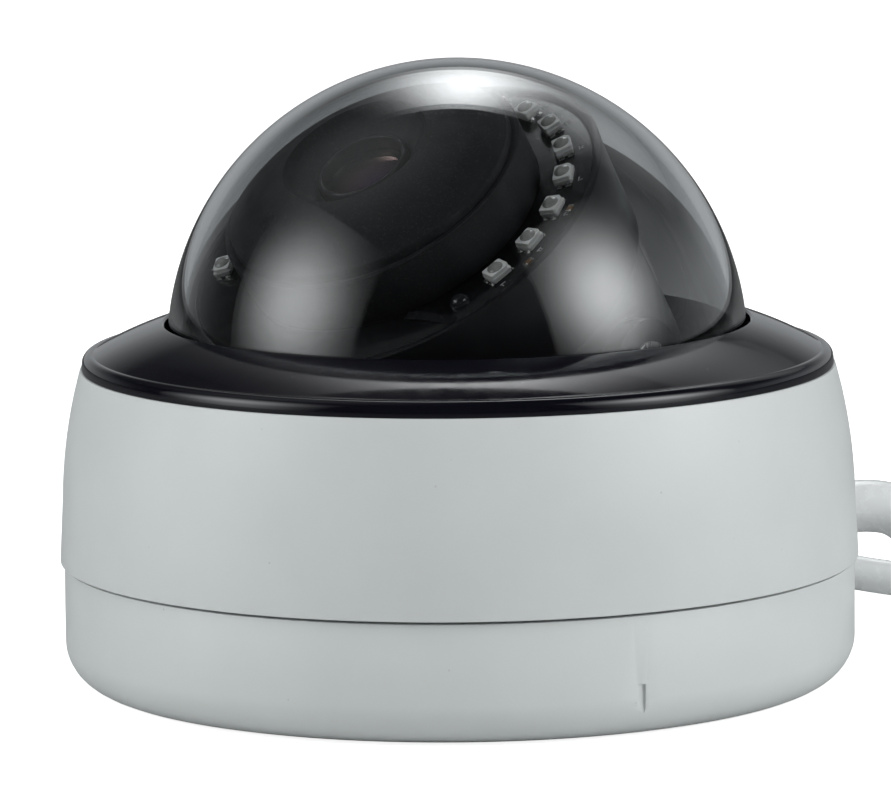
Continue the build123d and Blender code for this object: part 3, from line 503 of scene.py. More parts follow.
def metal(name, colour, roughness, streak=0.4):
    """Plated or turned metal with fine streaks and uneven brightness."""
    made = Finish(name, colour, roughness, Metallic=1.0)
    streaks = made.noise(streak, 4.0, made.stretched(1.0, 1.0, 0.06))
    darker = tuple(part * 0.72 for part in colour)
    made.tint(made.patches(1.8, 0.35, 0.7, detail=4.0), darker, colour)
    made.set("Roughness", made.between(streaks, 0.3, 0.7, roughness * 0.75, roughness * 1.35))
    made.bump(streaks, 0.004)


def cable_jacket():
    """Glossy white cable jacket: soft waviness, faint lengthwise rubs."""
    made = Finish("cable_jacket", (0.80, 0.815, 0.815), 0.24, Coat_Weight=0.3, Coat_Roughness=0.15)
    drift = made.patches(9.0, 0.35, 0.65, detail=4.0)
    made.tint(drift, (0.77, 0.785, 0.785), (0.82, 0.835, 0.835))
    made.set("Roughness", made.patches(3.0, 0.3, 0.7, 0.20, 0.32, detail=4.0))
    made.bump(made.noise(4.0, 2.0), 0.05)
    made.bump(made.noise(0.4), 0.004)


def led_package():
    """Cream LED package, a little mottled and slightly translucent."""
    made = Finish("led_package", (0.95, 0.945, 0.91), 0.38, Subsurface_Weight=0.1)
    made.shader.inputs["Subsurface Radius"].default_value = (0.0006, 0.0005, 0.0003)
    mottle = made.patches(0.5, 0.35, 0.65, detail=4.0)
    made.tint(mottle, (0.92, 0.915, 0.88), (0.98, 0.975, 0.96))
    made.bump(made.noise(0.15), 0.006)


def led_lens():
    """Milky clear resin over the LED chip."""
    made = Finish("led_lens", (0.40, 0.40, 0.38), 0.14, IOR=1.5, Coat_Weight=0.6)
    depth = made.patches(0.9, 0.35, 0.65, detail=3.0)
    made.tint(depth, (0.34, 0.34, 0.32), (0.46, 0.46, 0.44))
    made.bump(made.noise(0.6), 0.01)


def lens_glass():
    """Dark coated lens glass with a thin-film sheen."""
    made = Finish("lens_glass", (0.004, 0.006, 0.010), 0.03, Coat_Weight=1.0, Coat_Roughness=0.02, IOR=1.7)
    made.set("Thin Film Thickness", made.patches(7.0, 0.3, 0.7, 325.0, 345.0, detail=1.0))
    made.shader.inputs["Thin Film IOR"].default_value = 1.38
    made.tint(made.noise(6.0, 1.0), (0.004, 0.005, 0.007), (0.006, 0.006, 0.008))


def filter_glass(name, tint):
    """A thin coated filter window."""
    made = Finish(name, tint, 0.02, Transmission_Weight=0.9, IOR=1.5)
    made.tint(made.noise(2.0), tint, tuple(part * 0.85 for part in tint))


def white_ink():
    """Screen-printed ink, worn thin in places."""
    made = Finish("white_ink", (0.62, 0.64, 0.64), 0.6)
    wear = made.patches(0.2, 0.3, 0.6, detail=4.0)
    made.tint(wear, (0.25, 0.26, 0.26), (0.7, 0.72, 0.72))
    made.bump(made.noise(0.12), 0.005)


white_shell()
black_gloss_trim()
clear_dome()
foam_rubber()
moulded("seal_rubber", (0.022, 0.022, 0.023), 0.55, 0.35, 0.02)
moulded("black_plastic", (0.005, 0.005, 0.006), 0.34, 0.22, 0.008, 0.15)
moulded("washer_plastic", (0.72, 0.70, 0.62), 0.45, 0.3, 0.01)
moulded("white_plastic", (0.74, 0.745, 0.73), 0.42, 0.3, 0.01)
moulded("header_plastic", (0.70, 0.66, 0.55), 0.40, 0.3, 0.01)
moulded("jack_plastic", (0.74, 0.75, 0.745), 0.34, 0.3, 0.01)
circuit_board("green_board", (0.012, 0.10, 0.045), (0.03, 0.20, 0.09), 0.30)
circuit_board("black_board", (0.003, 0.003, 0.0035), (0.008, 0.0085, 0.009), 0.20)
metal("steel", (0.62, 0.62, 0.61), 0.28)
metal("brass_metal", (0.72, 0.52, 0.24), 0.30)
metal("contact_gold", (0.90, 0.68, 0.30), 0.20, 0.25)
metal("tinned", (0.80, 0.80, 0.78), 0.22, 0.2)
metal("capacitor_can", (0.70, 0.70, 0.72), 0.34)
moulded("component_black", (0.018, 0.018, 0.018), 0.5, 0.15, 0.02, 0.2)
moulded("black_metal", (0.012, 0.012, 0.013), 0.30, 0.12, 0.008, 0.2)
filter_glass("sensor_glass", (0.10, 0.12, 0.16))
filter_glass("filter_glass", (0.45, 0.75, 0.80))
lens_glass()
filter_glass("clear_window", (0.85, 0.90, 0.92))
cable_jacket()
moulded("lead_jacket", (0.45, 0.03, 0.025), 0.38, 0.3, 0.01)
led_package()
led_lens()
moulded("sensor_cap", (0.012, 0.012, 0.014), 0.1, 0.5, 0.004, 0.3, Coat_Weight=0.6)
moulded("resistor_ceramic", (0.16, 0.085, 0.03), 0.30, 0.15, 0.01, 0.2)
moulded("ribbon", (0.008, 0.008, 0.009), 0.26, 0.3, 0.006, 0.2)
shroud_rubber()
white_ink()

# ---------------------------------------------------------------- outer body


def upper_cover():
    """The white cover: a tapered wall with a rolled shoulder and a ledge for the dome."""
    ledge_low = cover_top - 2.0
    outer = [(cover_radius, cover_low), (59.5, 28.0)]
    outer += arc((59.5, 28.0), (58.4, 39.5), (56.6, cover_top), 18)
    inner = [
        (44.3, cover_top), (44.3, ledge_low), (54.5, ledge_low), (57.3, 30.5), (57.6, 24.6),
        (58.2, 24.0), (58.2, cover_low),
    ]
    build = lathe(eased(outer + inner, 0.14, 3), steps=288)
    for lug in range(3):
        turn = turned(120 * lug + 20)
        for part in range(8):
            step = turned((part - 3.5) * 2.0)
            block((1.2, 2.2, 1.6), turn @ step @ at(57.72, 0, cover_low + 1.0), 0.1, build)
    for boss in range(6):
        place = turned(60 * boss) @ at(51.6, 0, 0)
        boss_low = dome_low + 0.1
        sleeve = [(0.85, boss_low), (1.5, boss_low), (1.5, ledge_low), (0.85, ledge_low)]
        lathe(eased(sleeve, 0.1), place, 24, build)
    finish_piece(build, "cover_shell", "cover", "white_shell", ["upper_cover"])


def trim_ring():
    """The gloss black ring that slopes up to the dome."""
    lip = 43.9
    outline = [(56.4, cover_top), (56.3, 48.5)]
    outline += arc((56.3, 48.5), (55.85, 49.45), (54.6, 49.8), 8)
    outline += arc((54.6, 49.8), (49.3, 52.35), (lip + 0.3, trim_top), 24)
    outline += [(lip, trim_top - 0.2), (lip, cover_top), (45.9, cover_top), (45.9, 51.4), (50.0, 50.2)]
    outline += [(54.2, 48.2), (54.2, cover_top)]
    build = lathe(eased(outline, 0.12), steps=320)
    for peg in range(4):
        place = turned(90 * peg + 45) @ at(52.4, 0, 0)
        ends = [(0, cover_top - 2.4), (1.2, cover_top - 2.4), (1.2, cover_top + 1.0), (0, cover_top + 1.0)]
        lathe(eased(ends, 0.2), place, 24, build)
    finish_piece(build, "trim", "cover", "black_gloss_trim", ["trim_ring"])


def dome():
    """The clear dome: a hemisphere on a short skirt, with a clamping flange."""
    inside = dome_radius - dome_wall
    seat = dome_low + 2.0
    middle = dome_centre.z
    diagonal = math.sqrt(0.5)
    outline = [(inside, dome_low), (dome_flange_radius, dome_low), (dome_flange_radius, seat)]
    outline += [(dome_radius, seat), (dome_radius, middle)]
    outer_via = (dome_radius * diagonal, middle + dome_radius * diagonal)
    inner_via = (inside * diagonal, middle + inside * diagonal)
    outline += arc((dome_radius, middle), outer_via, (0, middle + dome_radius), 96)
    outline += [(0, middle + inside)] + arc((0, middle + inside), inner_via, (inside, middle), 96)
    outline = [(max(radius, 0.0), height) for radius, height in outline]
    build = lathe(eased(outline, 0.3), steps=384)
    finish_piece(build, "dome_clear", "cover", "clear_dome", ["dome"], sharp=60.0)


def base():
    """The white base, its foam gasket and the pieces that close the joint to the cover."""
    refined("base_shell", "white_shell", 0.13)
    refined("foot_gasket", "foam_rubber", 0.12)
    keep("cover_seal", "seal_rubber")
    keep("dome_gasket", "foam_rubber")
    refined("dome_retainer", "black_plastic", 0.25)


def cross_head_screw(head_radius, head_height, shank_radius, shank_length):
    """A pan head screw with a cross recess, its shank along -z from the head's underside."""
    rim = (head_radius, head_height * 0.45)
    crown = arc(rim, (head_radius * 0.72, head_height * 0.86), (0, head_height), 8)
    shank = [(shank_radius * 0.55, -shank_length), (shank_radius, -shank_length + shank_radius)]
    thread = []
    pitch = 0.8
    turns = int((shank_length - shank_radius - 0.4) / pitch)
    for turn in range(turns):
        low = -shank_length + shank_radius + turn * pitch
        thread += [(shank_radius, low + 0.1), (shank_radius * 0.82, low + 0.4), (shank_radius, low + 0.7)]
    outline = [(0, -shank_length)] + shank + thread + [(shank_radius, 0), (head_radius, 0)]
    outline += [rim] + crown
    outline[-1] = (0, head_height)
    build = lathe(outline, steps=40)
    recess = bmesh.new()
    for turn in (0, 90):
        place = turned(turn) @ at(0, 0, head_height)
        block((head_radius * 1.25, head_radius * 0.26, head_height * 1.1), place, 0.0, recess)
    return cut_away(build, recess)


def screws(node, places, head_radius, head_height, shank_radius, shank_length, finish="steel"):
    """All the screws of one CAD node, each turned a little differently."""
    pattern = cross_head_screw(head_radius, head_height, shank_radius, shank_length)
    build = bmesh.new()
    for index, place in enumerate(places):
        turn = turned(37 * index + 15)
        copy = pattern.copy()
        merge(build, copy, place @ turn)
    pattern.free()
    finish_piece(build, node + "_finished", body_of_node(node), finish, [node])


def ring_places(count, circle, height, first=0.0, place=WORLD, flip=False):
    """Frames spaced evenly on a circle, with z up, or down when flipped."""
    places = []
    for index in range(count):
        turn = turned(first + 360 / count * index)
        spot = place @ turn @ at(circle, 0, height)
        places.append(spot @ turned(180, "X") if flip else spot)
    return places


# ---------------------------------------------------------------- camera ball


def shroud():
    """The soft ring round the lens: a stepped rim, a domed face and a dished well."""
    bead, well = shroud_radius - 0.42, 11.2
    groove = shroud_radius - 1.05

    def cap(radius):
        return math.sqrt(shroud_cap_radius ** 2 - radius ** 2)

    foot = led_board_top + 0.02
    outline = [(shroud_radius, foot), (shroud_radius, cap(bead) - 0.75)]
    outline += [(shroud_radius - 0.1, cap(bead) - 0.5), (bead, cap(bead) - 0.42)]
    outline += [(groove + 0.22, cap(bead) - 0.48), (groove + 0.16, cap(groove) - 0.95)]
    outline += [(groove - 0.16, cap(groove) - 0.95), (groove - 0.22, cap(groove) - 0.10)]
    face_start = groove - 0.42
    for step in range(21):
        radius = face_start - (face_start - well) * step / 20
        outline.append((radius, cap(radius)))
    outline += [(well - 0.25, cap(well) - 0.35), (well - 0.55, cap(well) - 1.1)]
    outline += arc((well - 0.55, cap(well) - 1.1), (9.9, 36.3), (8.9, 35.5), 8)
    outline += [(8.2, 34.9), (lens_radius + 0.3, 34.6), (lens_radius + 0.3, 28.0)]
    outline += [(shroud_radius - 2.2, 28.0), (shroud_radius - 2.2, foot)]
    build = lathe(eased(outline, 0.08, 3), HEAD, 256)
    finish_piece(build, "shroud", "camera_head", "shroud_rubber", ["light_shroud"])


def lens():
    """The lens barrel with its front ring, grip notches and coated front glass."""
    bore, thread_depth, thread_pitch = 4.6, 0.22, 0.5
    outline = [(bore, lens_low), (lens_radius, lens_low)]
    for turn in range(18):
        low = lens_low + 0.6 + turn * thread_pitch
        outline += [(lens_radius, low), (lens_radius - thread_depth, low + thread_pitch / 2)]
    lip = lens_glass_radius + 0.1
    seat = glass_low - 0.1
    outline += [(lens_radius, lens_low + 9.8), (lens_radius, lens_front - 0.5)]
    outline += [(lens_radius - 0.35, lens_front), (lip + 0.12, lens_front), (lip, lens_front - 0.2)]
    outline += [(lip, seat), (5.4, seat), (5.2, glass_low - 0.6), (bore, glass_low - 0.7)]
    build = lathe(eased(outline, 0.10, 2, 40), HEAD, 128)
    finish_piece(build, "lens_tube", "camera_head", "black_metal", ["lens_barrel"])
    edge_height = glass_crown - 1.3
    front = [(0, glass_low), (lens_glass_radius, glass_low), (lens_glass_radius, edge_height)]
    via = (lens_glass_radius * 0.52, glass_crown - 0.34)
    front += arc((lens_glass_radius, edge_height), via, (0, glass_crown), 18)
    front[-1] = (0, glass_crown)
    build = lathe(front, HEAD, 128)
    finish_piece(build, "lens_front_glass", "camera_head", "lens_glass", ["front_lens"])
    mask_low, mask_high = glass_low - 0.55, glass_low - 0.15
    mask = [(2.6, mask_low), (5.1, mask_low), (5.1, mask_high), (4.6, mask_high)]
    build = lathe(mask, HEAD, 96)
    finish_piece(build, "lens_mask", "camera_head", "black_metal")
    keep("rear_lens", "lens_glass")
    refined("lens_lock_ring", "black_metal", 0.15)
    refined("lens_holder", "black_plastic", 0.15)


# the LED ring, in degrees from HEAD's x, and millimetres
led_pitch = 15.0
led_first_angle = -17.5
led_count = 16
led_circle = 27.4


def led_places():
    """A frame on the board for each LED: x points out from the lens, z off the board."""
    places = []
    for led in range(led_count):
        turn = turned(led_first_angle + led * led_pitch)
        places.append(HEAD @ turn @ at(led_circle, 0, led_board_top))
    return places


def led_package_shape(height=1.5):
    """One LED package: tapered walls, a marked corner and a shallow round seat for its lens."""
    wide, long = 2.8, 3.5
    base_low, waist = 0.12, 0.85
    build = bmesh.new()
    rings = []
    levels = (base_low, 0.10), (waist, 0.0), (waist + 0.1, 0.06), (height - 0.05, 0.08), (height, 0.13)
    for level, inset in levels:
        x, y = wide / 2 - inset, long / 2 - inset
        corner = 0.55 if level > waist else 0.2
        spots = [
            (x - 0.2, -y), (x, -y + 0.2), (x, y - corner), (x - corner, y), (-x + 0.2, y), (-x, y - 0.2),
            (-x, -y + 0.2), (-x + 0.2, -y),
        ]
        rings.append([build.verts.new((px, py, level)) for px, py in spots])
    skin(build, rings)
    return build


def led_ring():
    """Sixteen infrared LEDs: packages, lenses, tinned leads with solder, and print beside each."""
    packages, lenses, leads, print_marks = bmesh.new(), bmesh.new(), bmesh.new(), bmesh.new()
    collar = [(0, 1.3), (1.18, 1.3), (1.18, 1.56)] + arc((1.18, 1.56), (0.84, 1.86), (0, 1.98), 8)
    collar[-1] = (0, 1.98)
    for index, place in enumerate(led_places()):
        merge(packages, led_package_shape(), place)
        lathe(collar, place, 32, lenses)
        for side in (-1, 1):
            for shift in (-0.72, 0.72):
                tab = place @ at(shift, side * 1.80, 0.22)
                block((0.72, 0.34, 0.40), tab, 0.06, leads)
                foot = place @ at(shift, side * 1.98, 0.08)
                block((0.95, 0.42, 0.14), foot, 0.05, leads)
        tick = place @ at(2.15, -0.9, 0.012)
        block((0.16, 1.0, 0.02), tick, 0.0, print_marks)
        for dot in range(index % 3 + 1):
            mark = place @ at(2.55, -1.2 + dot * 0.42, 0.012)
            block((0.42, 0.14, 0.02), mark, 0.0, print_marks)
    finish_piece(packages, "led_packages", "camera_head", "led_package", ["infrared_leds"], sharp=8)
    finish_piece(lenses, "led_lens_caps", "camera_head", "led_lens", ["led_lenses"])
    finish_piece(leads, "led_leads", "camera_head", "tinned")
    finish_piece(print_marks, "board_print", "camera_head", "white_ink")


def light_board():
    """The black board with its light sensor and resistors."""
    refined("led_board", "black_board", 0.12)
    sensor_angle = -32.0
    place = HEAD @ turned(sensor_angle) @ at(led_circle, 0, led_board_top)
    outline = [(0, 0), (1.5, 0), (1.5, 0.35), (1.22, 0.45), (1.2, 0.7)]
    outline += arc((1.2, 0.7), (0.85, 1.1), (0, 1.28), 8)
    outline[-1] = (0, 1.28)
    build = lathe(outline, place, 40)
    finish_piece(build, "light_sensor_cap", "camera_head", "sensor_cap", ["light_sensor"])
    bodies, ends = bmesh.new(), bmesh.new()
    resistor_circle, resistor_angles = 30.2, (12.0, -10.0)
    for angle in resistor_angles:
        spot = HEAD @ turned(angle) @ at(resistor_circle, 0, led_board_top + 0.24)
        block((0.76, 1.0, 0.40), spot, 0.04, bodies)
        for side in (-1, 1):
            block((0.80, 0.30, 0.44), spot @ at(0, side * 0.62, 0), 0.05, ends)
    finish_piece(bodies, "resistor_bodies", "camera_head", "resistor_ceramic",
                 ["board_resistors"])
    finish_piece(ends, "resistor_ends", "camera_head", "tinned")


def ribbon():
    """The flat cable from under the shroud to the board's edge, with its copper tracks."""
    ribbon_line = -18.25
    turn = HEAD @ at(0, ribbon_line, 0)
    build, tracks = bmesh.new(), bmesh.new()
    start, end, half = 15.7, 24.6, 0.78
    steps = 24

    def lift(share):
        return led_board_top + 0.06 + 0.55 * math.sin(math.pi * min(1.0, share * 1.15)) ** 2 * (1 - share)

    def strip(target, low, high, rise, thick):
        rings = []
        for step in range(steps + 1):
            share = step / steps
            reach = start + (end - start) * share
            z = lift(share) + rise
            corners = ((low, z), (high, z), (high, z + thick), (low, z + thick))
            rings.append([target.verts.new(turn @ Vector((reach, y, level))) for y, level in corners])
        skin(target, rings)

    strip(build, -half, half, 0.0, 0.16)
    for track in range(3):
        y = (track - 1) * 0.46
        strip(tracks, y - 0.11, y + 0.11, 0.16, 0.02)
    finish_piece(build, "ribbon_film", "camera_head", "ribbon", ["led_ribbon"])
    finish_piece(tracks, "ribbon_tracks", "camera_head", "ribbon")


def ball():
    """The camera ball's housings, the pivots that carry it, and what it holds."""
    refined("front_housing", "black_plastic", 0.16)
    refined("rear_cup", "black_plastic", 0.20)
    keep("tilt_washers", "washer_plastic")
    places, arm_face = [], 37.1
    for side in (-1, 1):
        place = frame_from(lens_axis, tilt_axis * side, dome_centre)
        places.append(place @ at(0, 0, arm_face))
    screws("tilt_screws", places, 2.9, 1.6, 1.45, 7.4)
    washers = bmesh.new()
    for place in places:
        outline = [(1.5, -0.6), (2.5, -3.4), (2.55, -3.4), (2.55, -0.62), (4.0, -0.6)]
        outline += [(4.0, -0.02), (1.5, -0.02)]
        lathe(eased(outline, 0.1), place, 64, washers)
    finish_piece(washers, "tilt_shoulders", "tilt_cup", "steel")
    for node in ("processor_board", "sensor_board"):
        refined(node, "green_board", 0.08)
    for node in ("processor_chip", "filter_coil"):
        refined(node, "component_black", 0.1)
    keep("board_spacers", "brass_metal")
    keep("image_sensor", "sensor_glass")
    refined("filter_tray", "black_plastic", 0.08)
    keep("infrared_cut_filter", "filter_glass")
    keep("clear_filter", "clear_window")
    processor_low = along_lens("processor_board")[0]
    screws("processor_screws", ring_places(3, 25.4, processor_low, 90, HEAD, True), 1.4, 1.0, 0.7, 2.4)


# ---------------------------------------------------------------- inside the base


def base_interior():
    """The turntable, its clips, and the power board with its parts."""
    refined("turntable", "black_plastic", 0.25)
    refined("turntable_clips", "black_plastic", 0.2)
    clip_top = height_span("turntable_clips")[1]
    screws("clip_screws", ring_places(3, 49.0, clip_top, 30), 2.4, 1.6, 1.0, 9.0)
    refined("power_board", "green_board", 0.1)
    board_top = height_span("power_board")[1]
    screws("power_board_screws", ring_places(4, 30.0, board_top, 20), 2.4, 1.5, 1.0, 5.0)
    for node in ("network_transformer", "power_inductor"):
        refined(node, "component_black", 0.25)
    refined("filter_capacitors", "capacitor_can", 0.2)
    refined("board_headers", "header_plastic", 0.15)
    refined("reset_switch", "component_black", 0.15)
    refined("reset_button", "header_plastic", 0.1)
    keep("board_leads", "lead_jacket")
    retainer_low = height_span("retainer_screws")[0] + 1.3
    screws("retainer_screws", ring_places(6, 51.6, retainer_low, 0, WORLD, True), 1.7, 1.3, 0.8, 5.4)
    ticks = bmesh.new()
    top = height_span("turntable_clips")[0] - 0.10
    for step in range(72):
        long = 2.4 if step % 6 == 0 else 1.3
        place = turned(step * 5) @ at(44.2 - long / 2, 0, top + 0.012)
        block((long, 0.18, 0.024), place, 0.0, ticks)
    finish_piece(ticks, "pan_scale", "turntable", "white_ink")


# ---------------------------------------------------------------- cables

cable_angle = 48.0
PORT = turned(cable_angle)
port_height = (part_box("cable_grommet")[0].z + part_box("cable_grommet")[1].z) / 2 / MM
network_shift, power_shift = 5.0, -6.0
network_radius, power_radius = 4.15, 2.7


def grommet():
    """The rubber grommet: an oblong flange that follows the wall, with a collar round each cable."""
    build = bmesh.new()
    straight, radius, middle = 5.4, 5.4, -0.5
    steps = 64

    def loop(inset, proud):
        spots = []
        for step in range(steps):
            turn = FULL_TURN * step / steps
            shift = straight if math.cos(turn) > 0 else -straight
            y = middle + shift + (radius + inset) * math.cos(turn)
            z = port_height + (radius + inset) * math.sin(turn)
            x = math.sqrt(base_radius ** 2 - y ** 2) + proud
            spots.append(build.verts.new(PORT @ Vector((x, y, z))))
        return spots

    profile = [(-0.1, -3.2), (-0.1, -0.02), (1.15, -0.02), (1.25, 0.25), (1.2, 0.75)]
    profile += [(0.9, 1.05), (0.3, 1.15), (-1.2, 1.05)]
    skin(build, [loop(inset, proud) for inset, proud in profile])
    for shift, cable in ((network_shift, network_radius), (power_shift, power_radius)):
        face = math.sqrt(base_radius ** 2 - shift ** 2)
        place = PORT @ at(face, shift, port_height) @ turned(90, "Y")
        inner, outer = cable + 0.05, cable + 0.95
        outline = [(inner, 0.4), (outer, 0.4), (outer - 0.1, 1.9), (outer - 0.4, 2.3), (inner, 2.3)]
        lathe(eased(outline, 0.15), place, 56, build)
    finish_piece(build, "grommet", "base", "seal_rubber", ["cable_grommet"])


def network_tail():
    """The network cable with its ribbed strain relief and moulded socket."""
    keep("network_cable", "cable_jacket")
    low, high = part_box("network_strain_relief")
    centre = (low + high) / 2 / MM
    length = (high.x - low.x) / MM
    place = at(low.x / MM, centre.y, centre.z) @ turned(90, "Y")
    outline = [(network_radius + 0.02, 0.0), (network_radius + 0.9, 0.0)]
    ribs = 4
    for rib in range(ribs):
        start = 0.35 + rib * (length - 0.7) / ribs
        size = network_radius + 0.9 + 1.1 * (rib + 1) / ribs
        outline += [(size - 0.5, start), (size, start + 0.25)]
        outline += [(size, start + 0.85), (size - 0.5, start + 1.1)]
    outline += [(6.1, length), (network_radius + 0.02, length)]
    build = lathe(eased(outline, 0.12, 2), place, 72)
    finish_piece(build, "network_relief", "base", "cable_jacket", ["network_strain_relief"])
    refined("network_socket", "jack_plastic", 0.30)
    keep("network_contacts", "contact_gold")
    socket_low, socket_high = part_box("network_socket")
    grips = bmesh.new()
    for side in (0, 1):
        y = (socket_low.y if side == 0 else socket_high.y) / MM + (0.03 if side == 0 else -0.03)
        for rib in range(5):
            x = socket_low.x / MM + 5.0 + rib * 1.6
            z = (socket_low.z + socket_high.z) / 2 / MM
            block((0.8, 0.5, 9.0), Matrix.Translation((x, y, z)), 0.2, grips)
    finish_piece(grips, "network_socket_grips", "base", "jack_plastic")


def power_tail():
    """The power cable with its barrel socket, grip rings and centre pin."""
    keep("power_cable", "cable_jacket")
    low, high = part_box("power_socket")
    centre = (low + high) / 2 / MM
    length = (high.x - low.x) / MM
    place = at(low.x / MM, centre.y, centre.z) @ turned(90, "Y")
    wide = (high.z - low.z) / 2 / MM
    outline = [(0, 0.0), (3.6, 0.0), (4.3, 0.8), (5.2, 2.6)]
    for rib in range(5):
        start = 3.0 + rib * 1.5
        outline += [(5.3, start), (5.7, start + 0.3), (5.7, start + 0.8), (5.3, start + 1.1)]
    outline += [(5.6, 11.4), (wide, 12.4), (wide, length), (2.85, length)]
    outline += [(2.85, length - 10.0), (0, length - 10.0)]
    build = lathe(eased(outline, 0.2, 3), place, 96)
    finish_piece(build, "power_plug", "base", "jack_plastic", ["power_socket"])
    sleeve = [(2.5, length - 9.5), (2.83, length - 9.5), (2.83, length - 0.4), (2.5, length - 0.4)]
    build = lathe(eased(sleeve, 0.08), place, 64)
    finish_piece(build, "power_sleeve", "base", "tinned")
    pin = [(0, length - 10.0), (1.0, length - 10.0), (1.0, length - 1.6)]
    pin += arc((1.0, length - 1.6), (0.8, length - 1.15), (0, length - 1.0), 6)
    pin[-1] = (0, length - 1.0)
    build = lathe(pin, place, 40)
    finish_piece(build, "power_centre_pin", "base", "contact_gold", ["power_pin"])


def cable_entry():
    """The clamp that holds both cables inside the base."""
    refined("cable_clamp", "white_plastic", 0.3)
    clamp_top = height_span("cable_clamp")[1]
    place = PORT @ at(50.0, -1.2, clamp_top)
    screws("cable_clamp_screw", [place], 2.0, 1.4, 1.0, 14.4)


upper_cover()
trim_ring()
dome()
base()
shroud()
lens()
led_ring()
light_board()
ribbon()
ball()
base_interior()
grommet()
network_tail()
power_tail()
cable_entry()

# ---------------------------------------------------------------- stage, light and camera

aim = Vector((-0.00186, 0.0, 0.0426))
view_elevation = math.radians(8.25)
view_distance = 1.092
view_roll = math.radians(-0.6)
light_distance = 1.3
white = (1.0, 1.0, 1.0, 1.0)


def floor():
    """A plain pale floor, a little brighter to the camera and darker where it is mirrored."""
    mesh = bpy.data.meshes.new("floor")
    build = bmesh.new()
    bmesh.ops.create_circle(build, cap_ends=True, segments=96, radius=6.0)
    build.to_mesh(mesh)
    build.free()
    plane = bpy.data.objects.new("floor", mesh)
    plane.location.z = -0.0002
    bpy.context.scene.collection.objects.link(plane)
    floor_tone, mirrored_floor_tone = 0.82, 0.16
    made = Finish("floor", (floor_tone,) * 3, 0.7)
    mirrored = made.add("ShaderNodeLightPath").outputs["Is Glossy Ray"]
    made.set("Base Color", made.between(mirrored, 0.0, 1.0, floor_tone, mirrored_floor_tone))
    glow = wired(made.tree, "ShaderNodeEmission", Color=white, Strength=0.85)
    both = wired(made.tree, "ShaderNodeAddShader", made.shader.outputs["BSDF"], glow.outputs["Emission"])
    made.show_to("Is Camera Ray", both.outputs["Shader"])
    mesh.materials.append(made.material)


def surroundings():
    """White to the camera; to everything else a room that is pale behind the object and dark in front."""
    world = bpy.data.worlds.new("studio")
    bpy.context.scene.world = world
    world.use_nodes = True
    tree = world.node_tree
    pale_side = (0.35, 0.93, 0.0)
    around = wired(tree, "ShaderNodeTexCoord").outputs["Generated"]
    facing = wired(tree, "ShaderNodeVectorMath", around, operation="DOT_PRODUCT")
    facing.inputs[1].default_value = pale_side
    ranges = {"From_Min": -0.1, "From_Max": 0.95, "To_Min": 0.010, "To_Max": 0.42}
    depth = wired(tree, "ShaderNodeMapRange", facing.outputs["Value"], **ranges)
    depth.interpolation_type = "SMOOTHSTEP"
    height = wired(tree, "ShaderNodeSeparateXYZ", around).outputs["Z"]
    ranges = {"From_Min": 0.16, "From_Max": 0.42, "To_Min": 1.0, "To_Max": 0.10}
    above = wired(tree, "ShaderNodeMapRange", height, **ranges)
    sources = depth.outputs["Result"], above.outputs["Result"]
    both = wired(tree, "ShaderNodeMath", *sources, operation="MULTIPLY")
    room = tree.nodes["Background"]
    room.inputs["Color"].default_value = (0.93, 0.97, 1.0, 1.0)
    tree.links.new(both.outputs[0], room.inputs["Strength"])
    seen = wired(tree, "ShaderNodeBackground", Color=white)
    path = wired(tree, "ShaderNodeLightPath")
    sources = path.outputs["Is Camera Ray"], room.outputs["Background"], seen.outputs["Background"]
    mixed = wired(tree, "ShaderNodeMixShader", *sources)
    tree.links.new(mixed.outputs["Shader"], tree.nodes["World Output"].inputs["Surface"])


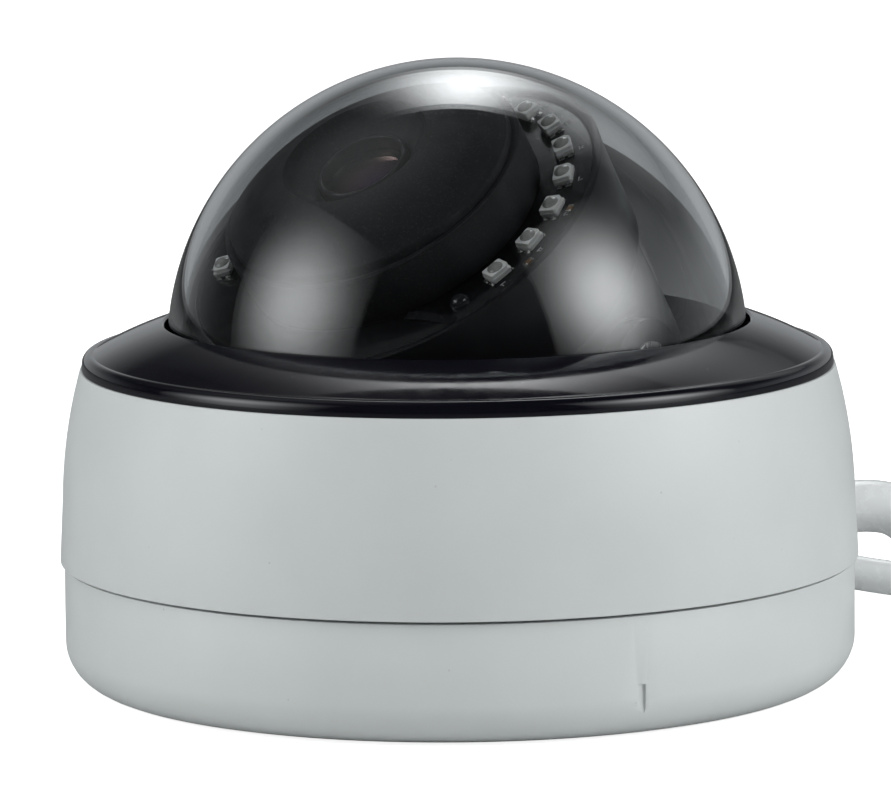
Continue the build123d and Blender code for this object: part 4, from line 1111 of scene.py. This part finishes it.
def softbox(name, azimuth, elevation, size, glow, spread, middle=(0.5, 0.5), mirrored=True):
    """A large soft light facing the subject, fading from its brightest place to its edges.

    Azimuth 0 is in front and grows to the right. Size, and the distance over which the light
    fades, are metres; glow is its greatest radiance, at a share of its width and height. An
    unmirrored light doesn't show in glossy surfaces, so it fills without a reflection."""
    a, e = math.radians(azimuth), math.radians(elevation)
    away = Vector((math.sin(a) * math.cos(e), -math.cos(a) * math.cos(e), math.sin(e)))
    lamp = bpy.data.lights.new(name, "AREA")
    lamp.shape = "RECTANGLE"
    lamp.size, lamp.size_y = size
    lamp.energy = glow * math.pi * size[0] * size[1]
    lamp.color = (0.97, 0.99, 1.0)
    lamp.use_nodes = True
    tree = lamp.node_tree
    stretch = size[0] / spread[0], size[1] / spread[1]
    shift = -middle[0] * stretch[0], -middle[1] * stretch[1], 0.0
    across = wired(tree, "ShaderNodeNewGeometry").outputs["Parametric"]
    mapped = wired(tree, "ShaderNodeMapping", across, Location=shift, Scale=(*stretch, 0.0))
    offset = mapped.outputs["Vector"]
    squared = wired(tree, "ShaderNodeVectorMath", offset, offset, operation="DOT_PRODUCT")
    fade = wired(tree, "ShaderNodeMath", squared.outputs["Value"], operation="MULTIPLY")
    fade.inputs[1].default_value = -0.5
    bell = wired(tree, "ShaderNodeMath", fade.outputs[0], operation="EXPONENT")
    tree.links.new(bell.outputs[0], tree.nodes["Emission"].inputs["Strength"])
    light = bpy.data.objects.new(name, lamp)
    place = Matrix.Translation(aim + away * light_distance)
    turn = (-away).to_track_quat("-Z", "Y").to_matrix().to_4x4()
    light.matrix_world = place @ turn
    bpy.context.scene.collection.objects.link(light)
    light.visible_camera = False
    light.visible_glossy = mirrored
    light.visible_transmission = mirrored


def camera():
    """The camera: in front, a little above level, with a long lens."""
    back = Vector((0, -math.cos(view_elevation), math.sin(view_elevation)))
    data = bpy.data.cameras.new("camera")
    data.sensor_width = 36.0
    data.lens = 294.0
    data.clip_start, data.clip_end = 0.01, 50.0
    seen_from = bpy.data.objects.new("camera", data)
    turn = (-back).to_track_quat("-Z", "Y").to_matrix().to_4x4()
    place = Matrix.Translation(aim + back * view_distance)
    seen_from.matrix_world = place @ turn @ Matrix.Rotation(view_roll, 4, "Z")
    bpy.context.scene.collection.objects.link(seen_from)
    bpy.context.scene.camera = seen_from


floor()
surroundings()
softbox("left_softbox", -71.0, 18.0, (1.5, 1.5), 3.6, (0.31, 0.31))
softbox("right_softbox", 65.0, 22.0, (1.3, 1.5), 5.4, (0.29, 0.29))
softbox("back_light", 177.0, 43.5, (1.0, 0.84), 4.4, (0.15, 0.34), middle=(0.5, 0.72))
softbox("right_back_panel", 145.0, 36.0, (0.9, 0.6), 0.38, (0.30, 0.25))
softbox("ceiling_panel", -105.0, 62.0, (1.9, 1.5), 0.26, (0.36, 0.36))
softbox("front_fill", -12.0, 62.0, (1.0, 1.0), 2.3, (1.0, 1.0), mirrored=False)
softbox("left_fill", -85.0, 10.0, (0.6, 1.0), 1.9, (1.0, 1.0), mirrored=False)
softbox("right_fill", 80.0, 10.0, (0.6, 1.0), 1.9, (1.0, 1.0), mirrored=False)
camera()

scene = bpy.context.scene
scene.view_settings.view_transform = "Standard"
scene.cycles.max_bounces = 14
scene.cycles.transmission_bounces = 12
scene.cycles.transparent_max_bounces = 12
scene.cycles.caustics_reflective = False
scene.cycles.caustics_refractive = False
